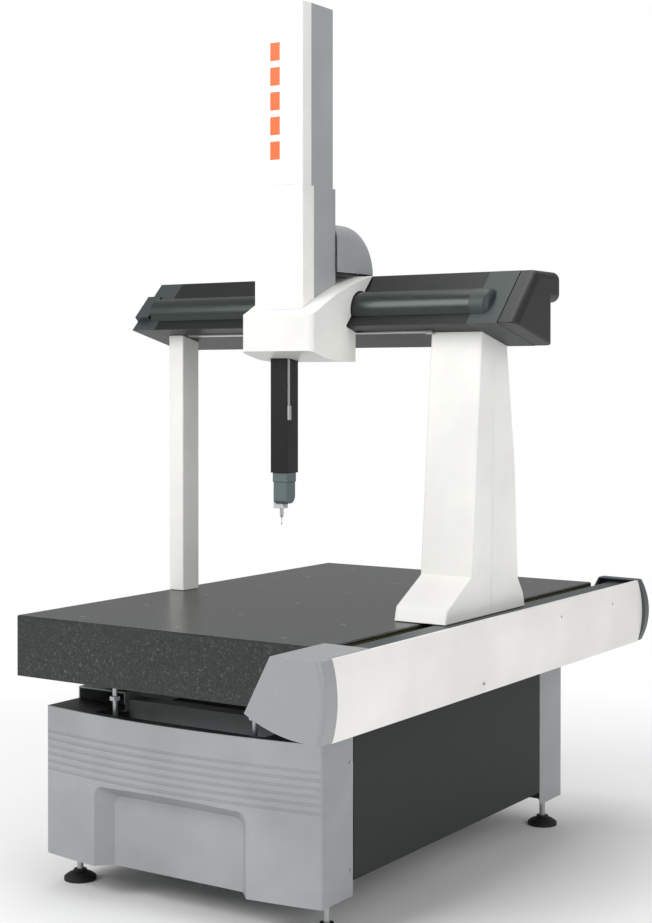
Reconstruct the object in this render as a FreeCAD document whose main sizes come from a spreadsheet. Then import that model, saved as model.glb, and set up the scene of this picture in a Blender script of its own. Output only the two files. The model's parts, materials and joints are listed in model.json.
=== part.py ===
import FreeCAD, Part
import math
import os
import Sketcher
from types import SimpleNamespace

# Moving-bridge coordinate measuring machine: a granite table on a steel stand, a bridge that
# slides along the table, a carriage that slides along the beam, and a vertical ram that carries
# an indexing probe head. Millimetres, +X to the right, +Y to the back, +Z up. The origin is on
# the floor, under the middle of the whole machine.

DIMENSIONS = {
    # granite table
    "table_width": 1110,
    "table_depth": 1729,
    "table_thickness": 183,
    "table_top": 829,
    "table_chamfer": 4,
    "insert_radius": 8,
    "insert_depth": 24,
    "insert_bore": 4.25,
    "insert_pitch_across": 369,
    "insert_pitch_along": 305,
    "insert_setback": 90,
    "glue_gap": 0.3,
    # stand
    "cabinet_width": 1006,
    "cabinet_front": 78,
    "cabinet_back": 1591,
    "cabinet_floor": 98,
    "front_box_top": 548,
    "rail_top": 585,
    "sheet": 3,
    "tube_wall": 4,
    "post_size": 90,
    "front_post_setback": 130,
    "rail_height": 60,
    "side_rail_width": 187,
    "cross_beam_depth": 120,
    "cross_beam_setback": 1340,
    "tie_height": 160,
    "stud_beam_top": 500,
    "stud_beam_front": 80,
    "stud_beam_back": 158,
    "deck_thickness": 12,
    "deck_strip_back": 76,
    "foot_plate": 12,
    # levelling feet and studs
    "foot_radius": 50,
    "foot_height": 32,
    "spindle_radius": 10,
    "spindle_length": 150,
    "thread_gap": 0.3,
    "nut_circle": 17.3,
    "nut_height": 12,
    "stud_across": 299,
    "stud_setback": 108,
    "stud_nut_drop": 60,
    "isolator_radius": 60,
    "isolator_across": 150,
    "isolator_setback": 330,
    # covers of the stand
    "front_bow": 46,
    "front_panel": 6,
    "front_return": 236,
    "groove_height": 8,
    "groove_depth": 3,
    "groove_low": 356,
    "groove_count": 6,
    "groove_band": 113,
    "recess_width": 560,
    "recess_shift": 8,
    "recess_top": 337,
    "recess_depth": 46,
    "recess_bevel": 44,
    "recess_top_bevel": 30,
    "recess_corner": 30,
    "panel_gap": 5,
    "side_panel_floor": 141,
    "rear_return": 1425,
    "panel_lip": 15,
    # drive housing along the right side of the table
    "housing_gap": 50,
    "housing_width": 145,
    "housing_floor": 650,
    "housing_wall": 6,
    "housing_flange": 50,
    "housing_lip": 39,
    "housing_length": 1774,
    "housing_overhang": 189,
    "cover_thickness": 10,
    "cover_bulge": 16,
    "cover_top": 840,
    "cover_floor": 628,
    "cover_wall": 4,
    "front_cap_depth": 63,
    "front_cap_top": 843,
    "front_cap_low": 633,
    "front_cap_reach": 229,
    "front_cap_upper_reach": 148,
    "front_cap_knee": 689,
    "front_cap_edge": 16,
    "rear_cap_depth": 46,
    "cap_wall": 4,
    # belt drives
    "y_pulley_radius": 32,
    "x_pulley_radius": 30,
    "z_pulley_radius": 22,
    "belt_thickness": 3,
    "belt_width": 18,
    "flange_rise": 4,
    "flange_width": 3,
    "axle_radius": 8,
    "running_gap": 0.3,
    "y_pulley_height": 734,
    "y_pulley_across": 1205,
    "y_motor_setback": -95,
    "y_idler_setback": 1700,
    "motor_radius": 36,
    "motor_length": 66,
    "motor_flange": 8,
    # bridge
    "bridge_station": 779,
    "beam_overhang": 98,
    "beam_length": 1383,
    "left_cover_length": 94,
    "right_cover_length": 103,
    "end_cap_depth": 60,
    "end_cap_round": 26,
    "beam_height": 881,
    "beam_lip": 117,
    "beam_back": 143,
    "beam_drop": 64,
    "beam_rise": 162,
    "beam_top_front": 42,
    "beam_wall": 10,
    "cover_skin": 4,
    "trough_depth": 43,
    "trough_height": 93,
    "trough_wall": 3,
    "trough_slot_low": 121,
    "trough_slot_high": 151,
    "x_pulley_rise": 114,
    "x_idler_across": -50,
    "x_motor_setback": 60,
    "tube_start": 43,
    "tube_end": 145,
    "tube_proud": 34,
    "tube_wall_thickness": 3,
    "tube_left": -42,
    "tube_right": 1178,
    "tube_cap_length": 62,
    "tube_block_length": 56,
    "tube_block_proud": 20,
    "scale_start": 70,
    "scale_width": 17,
    "scale_thickness": 4,
    "scale_left": 88,
    "scale_right": 1004,
    # left column
    "column_left": 3,
    "column_width": 61,
    "column_depth": 88,
    "column_wall": 5,
    "skirt_gap": 1.5,
    "air_pad_height": 20,
    "air_pad_radius": 25,
    # right leg
    "leg_left": 1017,
    "leg_width": 175,
    "leg_front_top": -30,
    "leg_front_low": -97,
    "leg_knee_height": 124,
    "foot_front": -254,
    "foot_toe_height": 44,
    "foot_toe_slope": 12,
    "leg_back_top": 135,
    "leg_back_middle": 188,
    "leg_middle_height": 455,
    "leg_back_low": 211,
    "heel_height": 94,
    "heel_back": 246,
    "heel_low_height": 46,
    "foot_back": 259,
    "seam_top": 53,
    "seam_low": 33,
    "seam_gap": 1,
    "leg_edge": 6,
    "leg_core_front": 18,
    "leg_core_back": 22,
    "leg_pad_radius": 38,
    "leg_pad_front": -190,
    "leg_pad_back": 200,
    "web_depth": 120,
    "web_half_length": 120,
    "web_setback": 12,
    "web_thickness": 32,
    "side_pad_radius": 28,
    "belt_arm_length": 40,
    "belt_arm_height": 14,
    # carriage
    "carriage_station": 587,
    "ram_reach": 82,
    "nose_left": 85,
    "nose_right": 179,
    "nose_front": 114,
    "nose_low": 80,
    "nose_high": 28,
    "nose_corner": 18,
    "nose_bottom": 111,
    "nose_back": 133,
    "shoulder_start": 48,
    "shoulder_middle": 118,
    "shoulder_middle_back": 80,
    "carriage_skin": 4,
    "nose_wall": 7,
    "contour_gap": 3,
    "tube_gap": 4,
    "tower_top": 990,
    "tower_front": 71,
    "tower_back": 105,
    "tower_left": 42,
    "tower_right": 114,
    "tower_flat": 53,
    "tower_corner": 5,
    "tower_base_left": 63,
    "tower_base_back": 120,
    "tower_step": 430,
    "tower_seam": -17,
    "tower_base_seam": -4,
    "tower_edge": 4,
    "dome_left": 40,
    "dome_right": 121,
    "dome_back": 365,
    "dome_base": 172,
    "dome_top": 325,
    "dome_round": 50,
    "frame_left": 56,
    "frame_right": 150,
    "frame_low": 70,
    "frame_front": 38,
    "frame_thickness": 22,
    "arm_left": 36,
    "arm_right": 45,
    "arm_base": 166,
    "arm_top": 185,
    "arm_back": 415,
    "guide_half": 56,
    "guide_back": 38,
    "guide_top": 160,
    "guide_low": 85,
    "guide_inside": 40,
    "ram_pad_length": 50,
    "air_gap": 0.2,
    "spine_right": 106,
    "spine_front": 79,
    "spine_thickness": 16,
    "spine_top": 960,
    "spine_cap": 16,
    "spine_cap_front": 30,
    "z_pulley_across": 75,
    "z_motor_height": 240,
    "z_idler_height": 905,
    "z_motor_radius": 26,
    # ram
    "ram_half": 32,
    "ram_edge": 3,
    "ram_station": 424,
    "ram_length": 1060,
    "ram_plate": 10,
    "ram_bore": 19,
    "ram_bore_depth": 1000,
    "ram_clamp_drop": 80,
    "clamp_half": 20,
    "piston_rod_radius": 6,
    "piston_height": 20,
    "piston_drop": 622,
    "ram_scale_front": 28,
    "ram_scale_width": 10,
    "ram_scale_base": 209,
    "ram_scale_top": 900,
    "ram_stop_height": 44,
    "ram_stop_thickness": 6,
    # probe head
    "head_half": 27,
    "head_mount_height": 29,
    "turret_half": 25,
    "turret_drop": 96,
    "turret_front_round": 12,
    "turret_back_round": 24,
    "knuckle_axis_drop": 52,
    "knuckle_half": 13,
    "knuckle_radius": 17,
    "knuckle_thickness": 8,
    "knuckle_base": 112,
    "knuckle_inner": 97.5,
    "knuckle_reach": 31,
    "probe_offset": 10,
    "probe_radius": 6,
    "probe_length": 27,
    "stylus_length": 24,
    "stylus_radius": 1.6,
}


class Size:
    """A length in millimetres that knows its value and the sheet formula behind it."""

    def __init__(self, value, formula):
        self.value = float(value)
        self.formula = formula

    def __add__(self, other):
        return combine(self, "+", other)

    def __radd__(self, other):
        return combine(other, "+", self)

    def __sub__(self, other):
        return combine(self, "-", other)

    def __rsub__(self, other):
        return combine(other, "-", self)

    def __mul__(self, other):
        return combine(self, "*", other)

    def __rmul__(self, other):
        return combine(other, "*", self)

    def __truediv__(self, other):
        return combine(self, "/", other)

    def __neg__(self):
        return combine(0, "-", self)


def as_size(number):
    """Return a plain number or a Size as a Size."""
    if isinstance(number, Size):
        return number
    return Size(number, f"({float(number):.9f})")


def combine(left, sign, right):
    """Join two lengths with an arithmetic sign, in value and in formula."""
    left = as_size(left)
    right = as_size(right)
    if sign == "+":
        value = left.value + right.value
    elif sign == "-":
        value = left.value - right.value
    elif sign == "*":
        value = left.value * right.value
    else:
        value = left.value / right.value
    return Size(value, f"({left.formula} {sign} {right.formula})")


DOC = FreeCAD.newDocument("MeasuringMachine")


def make_sheet():
    """Write the driving dimensions into the sheet and return them as Sizes."""
    sheet = DOC.addObject("Spreadsheet::Sheet", "Sizes")
    for row, (name, number) in enumerate(DIMENSIONS.items(), start=1):
        sheet.set(f"A{row}", name)
        sheet.set(f"B{row}", str(number))
        sheet.setAlias(f"B{row}", name)
    DOC.recompute()
    sizes = {name: Size(number, f"Sizes.{name}") for name, number in DIMENSIONS.items()}
    return SimpleNamespace(**sizes)


S = make_sheet()


# ---------------------------------------------------------------- drawing helpers

def bind(item, path, number):
    """Bind a property of an object to a formula of the sheet."""
    item.setExpression(path, as_size(number).formula)


def place(item, position):
    """Bind an object's position."""
    for axis, number in zip("xyz", position):
        bind(item, f"Placement.Base.{axis}", number)


def plus(first, second):
    """Add two triples of lengths."""
    return tuple(a + b for a, b in zip(map(as_size, first), map(as_size, second)))


def new_body(label, at):
    """Start a PartDesign body at a datum of the machine."""
    body = DOC.addObject("PartDesign::Body", label)
    body.Label = label
    place(body, at)
    return body


def via(middle, end):
    """An arc of an outline that passes through middle and ends at end."""
    return ("arc", middle, end)


def circle(centre, radius):
    """A round outline."""
    return ("circle", centre, radius)


def fix_point(sketch, index, position, point):
    """Hold a point of the sketch at two distances from the sketch's origin."""
    for kind, number in zip(("DistanceX", "DistanceY"), point):
        number = as_size(number)
        row = sketch.addConstraint(
            Sketcher.Constraint(kind, -1, 1, index, position, number.value))
        bind(sketch, f"Constraints[{row}]", number)


def vector(point):
    """The sketch vector of a point given as two lengths."""
    return FreeCAD.Vector(as_size(point[0]).value, as_size(point[1]).value, 0)


def draw(sketch, outline):
    """Draw one closed outline of corners, arcs or one circle, held by the sheet."""
    if outline[0] == "circle":
        radius = as_size(outline[2])
        index = sketch.addGeometry(
            Part.Circle(vector(outline[1]), FreeCAD.Vector(0, 0, 1), radius.value))
        fix_point(sketch, index, 3, outline[1])
        row = sketch.addConstraint(Sketcher.Constraint("Radius", index, radius.value))
        bind(sketch, f"Constraints[{row}]", radius)
        return
    start = outline[0]
    steps = list(outline[1:])
    if steps[-1][0] != "arc" or steps[-1][2] is not start:
        steps.append(start)
    previous = start
    pieces = []
    for step in steps:
        if step[0] == "arc":
            curve = Part.Arc(vector(previous), vector(step[1]), vector(step[2]))
            index = sketch.addGeometry(curve)
            end = step[2]
            middle = sketch.addGeometry(Part.Point(vector(step[1])), True)
            fix_point(sketch, middle, 1, step[1])
            sketch.addConstraint(Sketcher.Constraint("PointOnObject", middle, 1, index))
        else:
            index = sketch.addGeometry(Part.LineSegment(vector(previous), vector(step)))
            end = step
        first_point = sketch.getPoint(index, 1)
        near_start = first_point.distanceToPoint(vector(previous)) < 1e-4
        ends = (1, 2) if near_start else (2, 1)
        pieces.append((index, ends, previous, end))
        previous = end
    for number, (index, ends, corner, _) in enumerate(pieces):
        before, before_ends, _, _ = pieces[number - 1]
        sketch.addConstraint(
            Sketcher.Constraint("Coincident", before, before_ends[1], index, ends[0]))
        fix_point(sketch, index, ends[0], corner)


def sketch_on(body, plane, offset, outlines):
    """Draw outlines on one of a body's origin planes, moved along the plane's axis."""
    sketch = body.newObject("Sketcher::SketchObject", body.Name + "_outline")
    role = plane + "_Plane"
    base = next(item for item in body.Origin.OriginFeatures if item.Role == role)
    sketch.AttachmentSupport = [(base, "")]
    sketch.MapMode = "FlatFace"
    side = -1 if plane == "XZ" else 1
    bind(sketch, "AttachmentOffset.Base.z", as_size(offset) * side)
    for outline in outlines:
        draw(sketch, outline)
    return sketch


def pad(body, plane, start, length, *outlines):
    """Add material from start along the plane's positive axis."""
    feature = body.newObject("PartDesign::Pad", body.Name + "_pad")
    feature.Profile = sketch_on(body, plane, start, outlines)
    bind(feature, "Length", length)
    feature.Reversed = plane == "XZ"
    return feature


def pocket(body, plane, start, length, *outlines):
    """Take material away from start along the plane's positive axis."""
    feature = body.newObject("PartDesign::Pocket", body.Name + "_pocket")
    feature.Profile = sketch_on(body, plane, start, outlines)
    bind(feature, "Length", length)
    feature.Reversed = plane != "XZ"
    return feature


def turned(label, at, outline):
    """A body turned about its own upright axis from a half outline of radius and height."""
    body = new_body(label, at)
    feature = body.newObject("PartDesign::Revolution", body.Name + "_turn")
    feature.Profile = sketch_on(body, "XZ", 0, [outline])
    axis = next(item for item in body.Origin.OriginFeatures if item.Role == "Z_Axis")
    feature.ReferenceAxis = (axis, [""])
    feature.Angle = 360
    return body


def lay_along(body, axis):
    """Turn a body's upright axis to lie along X or Y."""
    turns = {"X": (FreeCAD.Vector(0, 1, 0), 90), "Y": (FreeCAD.Vector(1, 0, 0), -90)}
    direction, angle = turns[axis]
    body.Placement.Rotation = FreeCAD.Rotation(direction, angle)


def edges_where(shape, test):
    """The names of a shape's edges whose middle point passes a test."""
    names = []
    for number, edge in enumerate(shape.Edges, start=1):
        middle = edge.valueAt((edge.FirstParameter + edge.LastParameter) / 2)
        if test(middle, edge):
            names.append(f"Edge{number}")
    return names


def round_edges(body, radius, test):
    """Round the edges of a body's tip that pass a test."""
    DOC.recompute()
    tip = body.Tip
    names = edges_where(tip.Shape, test)
    if not names:
        raise RuntimeError(f"no edge to round on {body.Label}")
    feature = body.newObject("PartDesign::Fillet", body.Name + "_round")
    feature.Base = (tip, names)
    bind(feature, "Radius", radius)
    DOC.recompute()
    return feature


def bevel_edges(body, length, test):
    """Chamfer the edges of a body's tip that pass a test."""
    DOC.recompute()
    tip = body.Tip
    feature = body.newObject("PartDesign::Chamfer", body.Name + "_bevel")
    feature.Base = (tip, edges_where(tip.Shape, test))
    bind(feature, "Size", length)
    DOC.recompute()
    return feature


def close_to(number, size, reach=0.01):
    """Tell whether a coordinate equals a length."""
    return abs(number - as_size(size).value) < reach


def runs_along(edge, axis):
    """Tell whether a straight edge lies along an axis."""
    if not isinstance(edge.Curve, (Part.Line, Part.LineSegment)):
        return False
    direction = edge.tangentAt(edge.FirstParameter)
    return abs(getattr(direction, axis)) > 0.999


def box(label, at, low, high):
    """A Part box between two corners given from a datum."""
    item = DOC.addObject("Part::Box", label)
    item.Label = label
    for prop, near, far in zip(("Length", "Width", "Height"), low, high):
        bind(item, prop, as_size(far) - near)
    place(item, plus(at, low))
    return item


def rod(label, at, foot, radius, length, axis="Z"):
    """A Part cylinder from its foot along an axis."""
    item = DOC.addObject("Part::Cylinder", label)
    item.Label = label
    bind(item, "Radius", radius)
    bind(item, "Height", length)
    if axis != "Z":
        lay_along(item, axis)
    place(item, plus(at, foot))
    return item


def cut(label, base, *tools):
    """Base less its tools."""
    if len(tools) == 1:
        tool = tools[0]
    else:
        tool = DOC.addObject("Part::MultiFuse", label + "_tools")
        tool.Shapes = list(tools)
    item = DOC.addObject("Part::Cut", label)
    item.Label = label
    item.Base = base
    item.Tool = tool
    return item


def fuse(label, *parts):
    """Parts welded into one."""
    item = DOC.addObject("Part::MultiFuse", label)
    item.Label = label
    item.Shapes = list(parts)
    return item


def group(label, parts):
    """Equal or like pieces that share a node and stay separate solids."""
    item = DOC.addObject("Part::Compound", label)
    item.Label = label
    item.Links = list(parts)
    return item


def tube(label, at, low, high, wall, axis):
    """A box tube between two corners, open at both ends along its axis."""
    inner_low = []
    inner_high = []
    for name, near, far in zip("xyz", low, high):
        step = -wall if name == axis else wall
        inner_low.append(as_size(near) + step)
        inner_high.append(as_size(far) - step)
    outer = box(label + "_outside", at, low, high)
    inner = box(label + "_inside", at, inner_low, inner_high)
    return cut(label, outer, inner)


def inset(corners, walls):
    """Move the edges of an outline inwards, each by its own wall thickness."""
    points = [vector(corner) for corner in corners]
    count = len(points)
    area = sum(points[i].x * points[(i + 1) % count].y - points[(i + 1) % count].x * points[i].y
               for i in range(count))
    turn = 1 if area > 0 else -1
    moved = []
    for i in range(count):
        before = (points[i] - points[i - 1]).normalize()
        after = (points[(i + 1) % count] - points[i]).normalize()
        normal_before = FreeCAD.Vector(-before.y, before.x, 0) * turn
        normal_after = FreeCAD.Vector(-after.y, after.x, 0) * turn
        cross = normal_before.x * normal_after.y - normal_before.y * normal_after.x
        wall_before = as_size(walls[i - 1])
        wall_after = as_size(walls[i])
        across = (wall_before * (normal_after.y / cross) - wall_after * (normal_before.y / cross))
        along = (wall_after * (normal_before.x / cross) - wall_before * (normal_after.x / cross))
        moved.append((as_size(corners[i][0]) + across, as_size(corners[i][1]) + along))
    return moved


def rectangle(low, high):
    """The four corners of a rectangle."""
    return [(low[0], low[1]), (high[0], low[1]), (high[0], high[1]), (low[0], high[1])]


# ---------------------------------------------------------------- datums

table_left = (S.beam_overhang * 2 - S.beam_length - S.end_cap_depth) / 2
front_reach = S.housing_overhang + S.front_cap_depth
table_front = (front_reach - S.housing_length - S.rear_cap_depth) / 2
BASE = (table_left, table_front, 0)
BRIDGE = (table_left, table_front + S.bridge_station, S.table_top)
CARRIAGE = plus(BRIDGE, (S.carriage_station, -S.beam_lip - S.ram_reach, S.beam_height))
RAM = plus(BRIDGE, (S.carriage_station, -S.beam_lip - S.ram_reach, S.ram_station))


def root(number):
    """The square root of a length product."""
    return Size(math.sqrt(number.value), f"sqrt({number.formula})")


# ---------------------------------------------------------------- stand

cabinet_left = (S.table_width - S.cabinet_width) / 2
cabinet_right = cabinet_left + S.cabinet_width
inside_left = cabinet_left + S.sheet
inside_right = cabinet_right - S.sheet
table_middle = S.table_width / 2
bow_front = S.cabinet_front - S.front_bow
post_back = S.front_post_setback + S.post_size
rear_post_front = S.cabinet_back - S.sheet - S.post_size
rail_base = S.rail_top - S.rail_height
deck_base = S.front_box_top - S.deck_thickness
post_columns = [inside_left, inside_right - S.post_size]
post_rows = [(S.front_post_setback, deck_base), (rear_post_front, rail_base)]
foot_columns = [x + S.post_size / 2 for x in post_columns]
foot_rows = [y + S.post_size / 2 for y, _ in post_rows]
foot_places = [(x, y) for x in foot_columns for y in foot_rows]
stud_places = [(S.stud_across, S.stud_setback), (S.table_width - S.stud_across, S.stud_setback)]


def nut(label, at, base, bore):
    """A hexagon nut standing on a height."""
    body = new_body(label, plus(at, (0, 0, base)))
    corners = [(S.nut_circle * math.cos(math.radians(60 * k)),
                S.nut_circle * math.sin(math.radians(60 * k))) for k in range(6)]
    pad(body, "XY", 0, S.nut_height, corners, circle((0, 0), bore))
    return body


def make_feet():
    """Levelling feet: domed pads, threaded spindles and their lock nuts."""
    pads = []
    spindles = []
    nuts = []
    seat = S.foot_height * 0.7
    hub = S.spindle_radius * 2
    for number, (x, y) in enumerate(foot_places, start=1):
        at = plus(BASE, (x, y, 0))
        rim = (S.foot_radius, S.foot_height * 0.3)
        bore = S.spindle_radius + S.thread_gap
        outline = [(0, 0), (S.foot_radius, 0), rim,
                   via((S.foot_radius * 0.72, S.foot_height * 0.62), (hub, S.foot_height * 0.8)),
                   (hub, S.foot_height), (bore, S.foot_height), (bore, seat), (0, seat)]
        pads.append(turned(f"foot_pad_{number}", at, outline))
        spindles.append(rod(f"spindle_{number}", at, (0, 0, seat), S.spindle_radius,
                            S.spindle_length - seat))
        nuts.append(nut(f"lock_nut_{number}", at, S.cabinet_floor - S.nut_height, bore))
    return pads, spindles, nuts


def make_posts():
    """Four tube posts with a drilled foot plate."""
    posts = []
    for x in post_columns:
        for y, top in post_rows:
            name = f"post_{len(posts) + 1}"
            wall = S.tube_wall
            outside = box(name + "_outside", BASE, (x, y, S.cabinet_floor),
                          (x + S.post_size, y + S.post_size, top))
            inside = box(name + "_inside", BASE,
                         (x + wall, y + wall, S.cabinet_floor + S.foot_plate),
                         (x + S.post_size - wall, y + S.post_size - wall, top + wall))
            hole = rod(name + "_hole", BASE,
                       (x + S.post_size / 2, y + S.post_size / 2, S.cabinet_floor - wall),
                       S.spindle_radius + S.thread_gap, S.foot_plate + wall * 2)
            posts.append(cut(name, outside, inside, hole))
    return group("frame_posts", posts)


def make_rails():
    """The rails of the stand: two tops that carry the table, and the cross ties."""
    inner_left = inside_left + S.side_rail_width
    inner_right = inside_right - S.side_rail_width
    beam_left = inside_left + S.post_size
    beam_right = inside_right - S.post_size
    tie_top = S.tie_height + S.rail_height
    back = S.cabinet_back - S.sheet
    tie_width = S.rail_height
    top_rails = []
    for name, low, high in [("left", inside_left, inner_left),
                            ("right", inner_right, inside_right)]:
        top_rails.append(tube(f"top_rail_{name}", BASE, (low, post_back, rail_base),
                              (high, back, S.rail_top), S.tube_wall, "y"))
    cross_back = S.cross_beam_setback + S.cross_beam_depth
    rear_beam = tube("rear_cross_beam", BASE, (inner_left, S.cross_beam_setback, rail_base),
                     (inner_right, cross_back, S.rail_top), S.tube_wall, "x")
    black_low = S.rail_top - S.rail_height - 25
    black_rail = tube("front_inner_rail", BASE, (inner_left, post_back + 21, black_low),
                      (inner_right, post_back + 21 + S.rail_height, black_low + S.rail_height),
                      S.tube_wall, "x")
    stud_beam = tube("stud_beam_tube", BASE,
                     (beam_left, S.stud_beam_front, S.stud_beam_top - S.rail_height),
                     (beam_right, S.stud_beam_back, S.stud_beam_top), S.tube_wall, "x")
    holes = [rod(f"stud_hole_{x.value:.0f}", BASE, (x, y, S.stud_beam_top - S.tube_wall * 3),
                 S.spindle_radius * 0.8 + S.thread_gap, S.tube_wall * 5) for x, y in stud_places]
    stud_beam = cut("stud_beam", stud_beam, *holes)
    ties = []
    for name, low, high in [("left", inside_left, inside_left + tie_width),
                            ("right", inside_right - tie_width, inside_right)]:
        ties.append(tube(f"side_tie_{name}", BASE, (low, post_back, S.tie_height),
                         (high, rear_post_front, tie_top), S.tube_wall, "y"))
    for name, front in [("front", post_back - tie_width), ("rear", back - tie_width)]:
        ties.append(tube(f"cross_tie_{name}", BASE, (beam_left, front, S.tie_height),
                         (beam_right, front + tie_width, tie_top), S.tube_wall, "x"))
    return group("frame_rails", top_rails + [rear_beam] + ties + [black_rail, stud_beam])


def bow(front, left, right, corner):
    """The curved front line of the cabinet from right to left, as an arc step."""
    middle = ((left + right) / 2, front)
    return via(middle, (left, corner))


def recess_outline(y_depth, margin):
    """The outline of the bevelled recess at a depth behind the bowed panel."""
    share = y_depth / S.recess_depth
    half = S.recess_width / 2 - S.recess_bevel * share + margin
    top = S.recess_top - S.recess_top_bevel * share + margin
    middle = table_middle - S.recess_shift
    corner = S.recess_corner
    near = corner * (1 - math.sqrt(0.5))
    low = S.cabinet_floor - S.recess_corner
    left = middle - half
    right = middle + half
    return [(left, low), (left, top - corner),
            via((left + near, top - near), (left + corner, top)), (right - corner, top),
            via((right - near, top - near), (right, top - corner)), (right, low)]


def cut_recess(body, margin):
    """Take the bevelled recess out of a body with a loft between two depths."""
    feature = body.newObject("PartDesign::SubtractiveLoft", body.Name + "_recess")
    ahead = S.recess_depth * 0.6
    middle_front = bow_front + 13
    outer = recess_outline(-ahead, margin)
    inner = recess_outline(S.recess_depth + margin, margin)
    feature.Profile = sketch_on(body, "XZ", middle_front - ahead, [outer])
    feature.Sections = [sketch_on(body, "XZ", middle_front + S.recess_depth + margin, [inner])]
    feature.Ruled = True
    return feature


def make_front_cover():
    """The bowed front cover: a thin shell with six grooves and a bevelled open recess."""
    front = S.cabinet_front
    height = S.front_box_top - S.cabinet_floor
    outside = new_body("front_cover_outside", BASE)
    pad(outside, "XY", S.cabinet_floor, height,
        [(cabinet_left, S.front_return), (cabinet_right, S.front_return),
         (cabinet_right, front), bow(bow_front, cabinet_left, cabinet_right, front)])
    round_edges(outside, S.front_panel + 2,
                lambda p, e: close_to(p.y, front) and runs_along(e, "z"))
    cut_recess(outside, as_size(0))
    DOC.recompute()
    groove_front = front + S.groove_depth
    beyond = S.sheet
    groove = pocket(outside, "XY", S.groove_low, S.groove_height,
                    [(cabinet_left - beyond, 0), (cabinet_right + beyond, 0),
                     (cabinet_right + beyond, groove_front),
                     bow(bow_front + S.groove_depth, cabinet_left - beyond,
                         cabinet_right + beyond, groove_front)])
    rows = outside.newObject("PartDesign::LinearPattern", "front_cover_grooves")
    rows.Originals = [groove]
    axis = next(item for item in outside.Origin.OriginFeatures if item.Role == "Z_Axis")
    rows.Direction = (axis, [""])
    bind(rows, "Length", S.groove_band)
    bind(rows, "Occurrences", S.groove_count)
    outside.Tip = rows
    inside = new_body("front_cover_inside", BASE)
    margin = S.sheet
    inner_front = front + S.front_panel
    pad(inside, "XY", S.cabinet_floor - margin, height + margin * 2,
        [(inside_left, S.front_return + margin), (inside_right, S.front_return + margin),
         (inside_right, inner_front),
         bow(bow_front + S.front_panel, inside_left, inside_right, inner_front)])
    cut_recess(inside, margin)
    return cut("front_cover", outside, inside)


def make_deck():
    """The plate that closes the top of the front box, open round the studs."""
    body = new_body("front_deck_plate", BASE)
    front = S.cabinet_front + S.front_panel + S.running_gap
    inner_left = inside_left + S.side_rail_width
    inner_right = inside_right - S.side_rail_width
    pad(body, "XY", deck_base, S.deck_thickness,
        [(inside_left, post_back), (inner_left, post_back), (inner_left, S.deck_strip_back),
         (inner_right, S.deck_strip_back), (inner_right, post_back),
         (inside_right, post_back), (inside_right, front),
         bow(bow_front + S.front_panel + S.running_gap, inside_left, inside_right, front)])
    return body


def make_panels():
    """The side sheets with a folded lip and the wrap-round rear sheet."""
    panels = []
    front = S.front_return + S.panel_gap
    length = S.rear_return - S.panel_gap - front
    for name, outer, fold in [("left", cabinet_left, 1), ("right", cabinet_right, -1)]:
        body = new_body(f"{name}_side_cover", BASE)
        inner = outer + S.sheet * fold
        lip = outer + S.panel_lip * fold
        floor = S.side_panel_floor
        pad(body, "XZ", front, length,
            [(outer, floor), (lip, floor), (lip, floor + S.sheet), (inner, floor + S.sheet),
             (inner, S.rail_top), (outer, S.rail_top)])
        panels.append(body)
    rear = new_body("rear_cover", BASE)
    inner_back = S.cabinet_back - S.sheet
    pad(rear, "XY", S.cabinet_floor, S.rail_top - S.cabinet_floor,
        [(cabinet_left, S.rear_return), (inside_left, S.rear_return), (inside_left, inner_back),
         (inside_right, inner_back), (inside_right, S.rear_return),
         (cabinet_right, S.rear_return), (cabinet_right, S.cabinet_back),
         (cabinet_left, S.cabinet_back)])
    round_edges(rear, S.sheet, lambda p, e: close_to(p.y, S.cabinet_back) and runs_along(e, "z"))
    return [group("side_covers", panels), rear]


def make_isolators():
    """Three vibration mounts between the stand and the granite."""
    height = S.table_top - S.table_thickness - S.rail_top
    radius = S.isolator_radius
    across = S.isolator_across
    setback = S.isolator_setback
    rear = S.cross_beam_setback + S.cross_beam_depth / 2
    spots = [(across, setback), (S.table_width - across, setback), (table_middle, rear)]
    mounts = []
    for number, (x, y) in enumerate(spots, start=1):
        outline = [(0, 0), (radius, 0), (radius, height * 0.2), (radius * 0.8, height * 0.25),
                   (radius * 0.8, height * 0.75), (radius * 0.95, height * 0.8),
                   (radius * 0.95, height), (0, height)]
        mounts.append(turned(f"isolator_{number}", plus(BASE, (x, y, S.rail_top)), outline))
    return group("isolators", mounts)


def make_studs():
    """Transport studs under the front of the table with their nuts."""
    studs = []
    nuts = []
    radius = S.spindle_radius * 0.8
    table_base = S.table_top - S.table_thickness
    foot = S.stud_beam_top - S.rail_height + S.tube_wall
    for number, (x, y) in enumerate(stud_places, start=1):
        studs.append(rod(f"stud_{number}", BASE, (x, y, foot), radius, table_base - foot))
        at = plus(BASE, (x, y, 0))
        bore = radius + S.thread_gap
        nuts.append(nut(f"stud_nut_{number}", at, S.stud_beam_top, bore))
        nuts.append(nut(f"jam_nut_{number}", at, table_base - S.stud_nut_drop, bore))
    return studs, nuts


def make_footing():
    """The foot pads, and the studs and nuts of the feet and of the table, each as one group."""
    pads, spindles, foot_nuts = make_feet()
    studs, stud_nuts = make_studs()
    return [group("foot_pads", pads), group("threaded_studs", spindles + studs),
            group("lock_nuts", foot_nuts + stud_nuts)]


# ---------------------------------------------------------------- table

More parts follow.
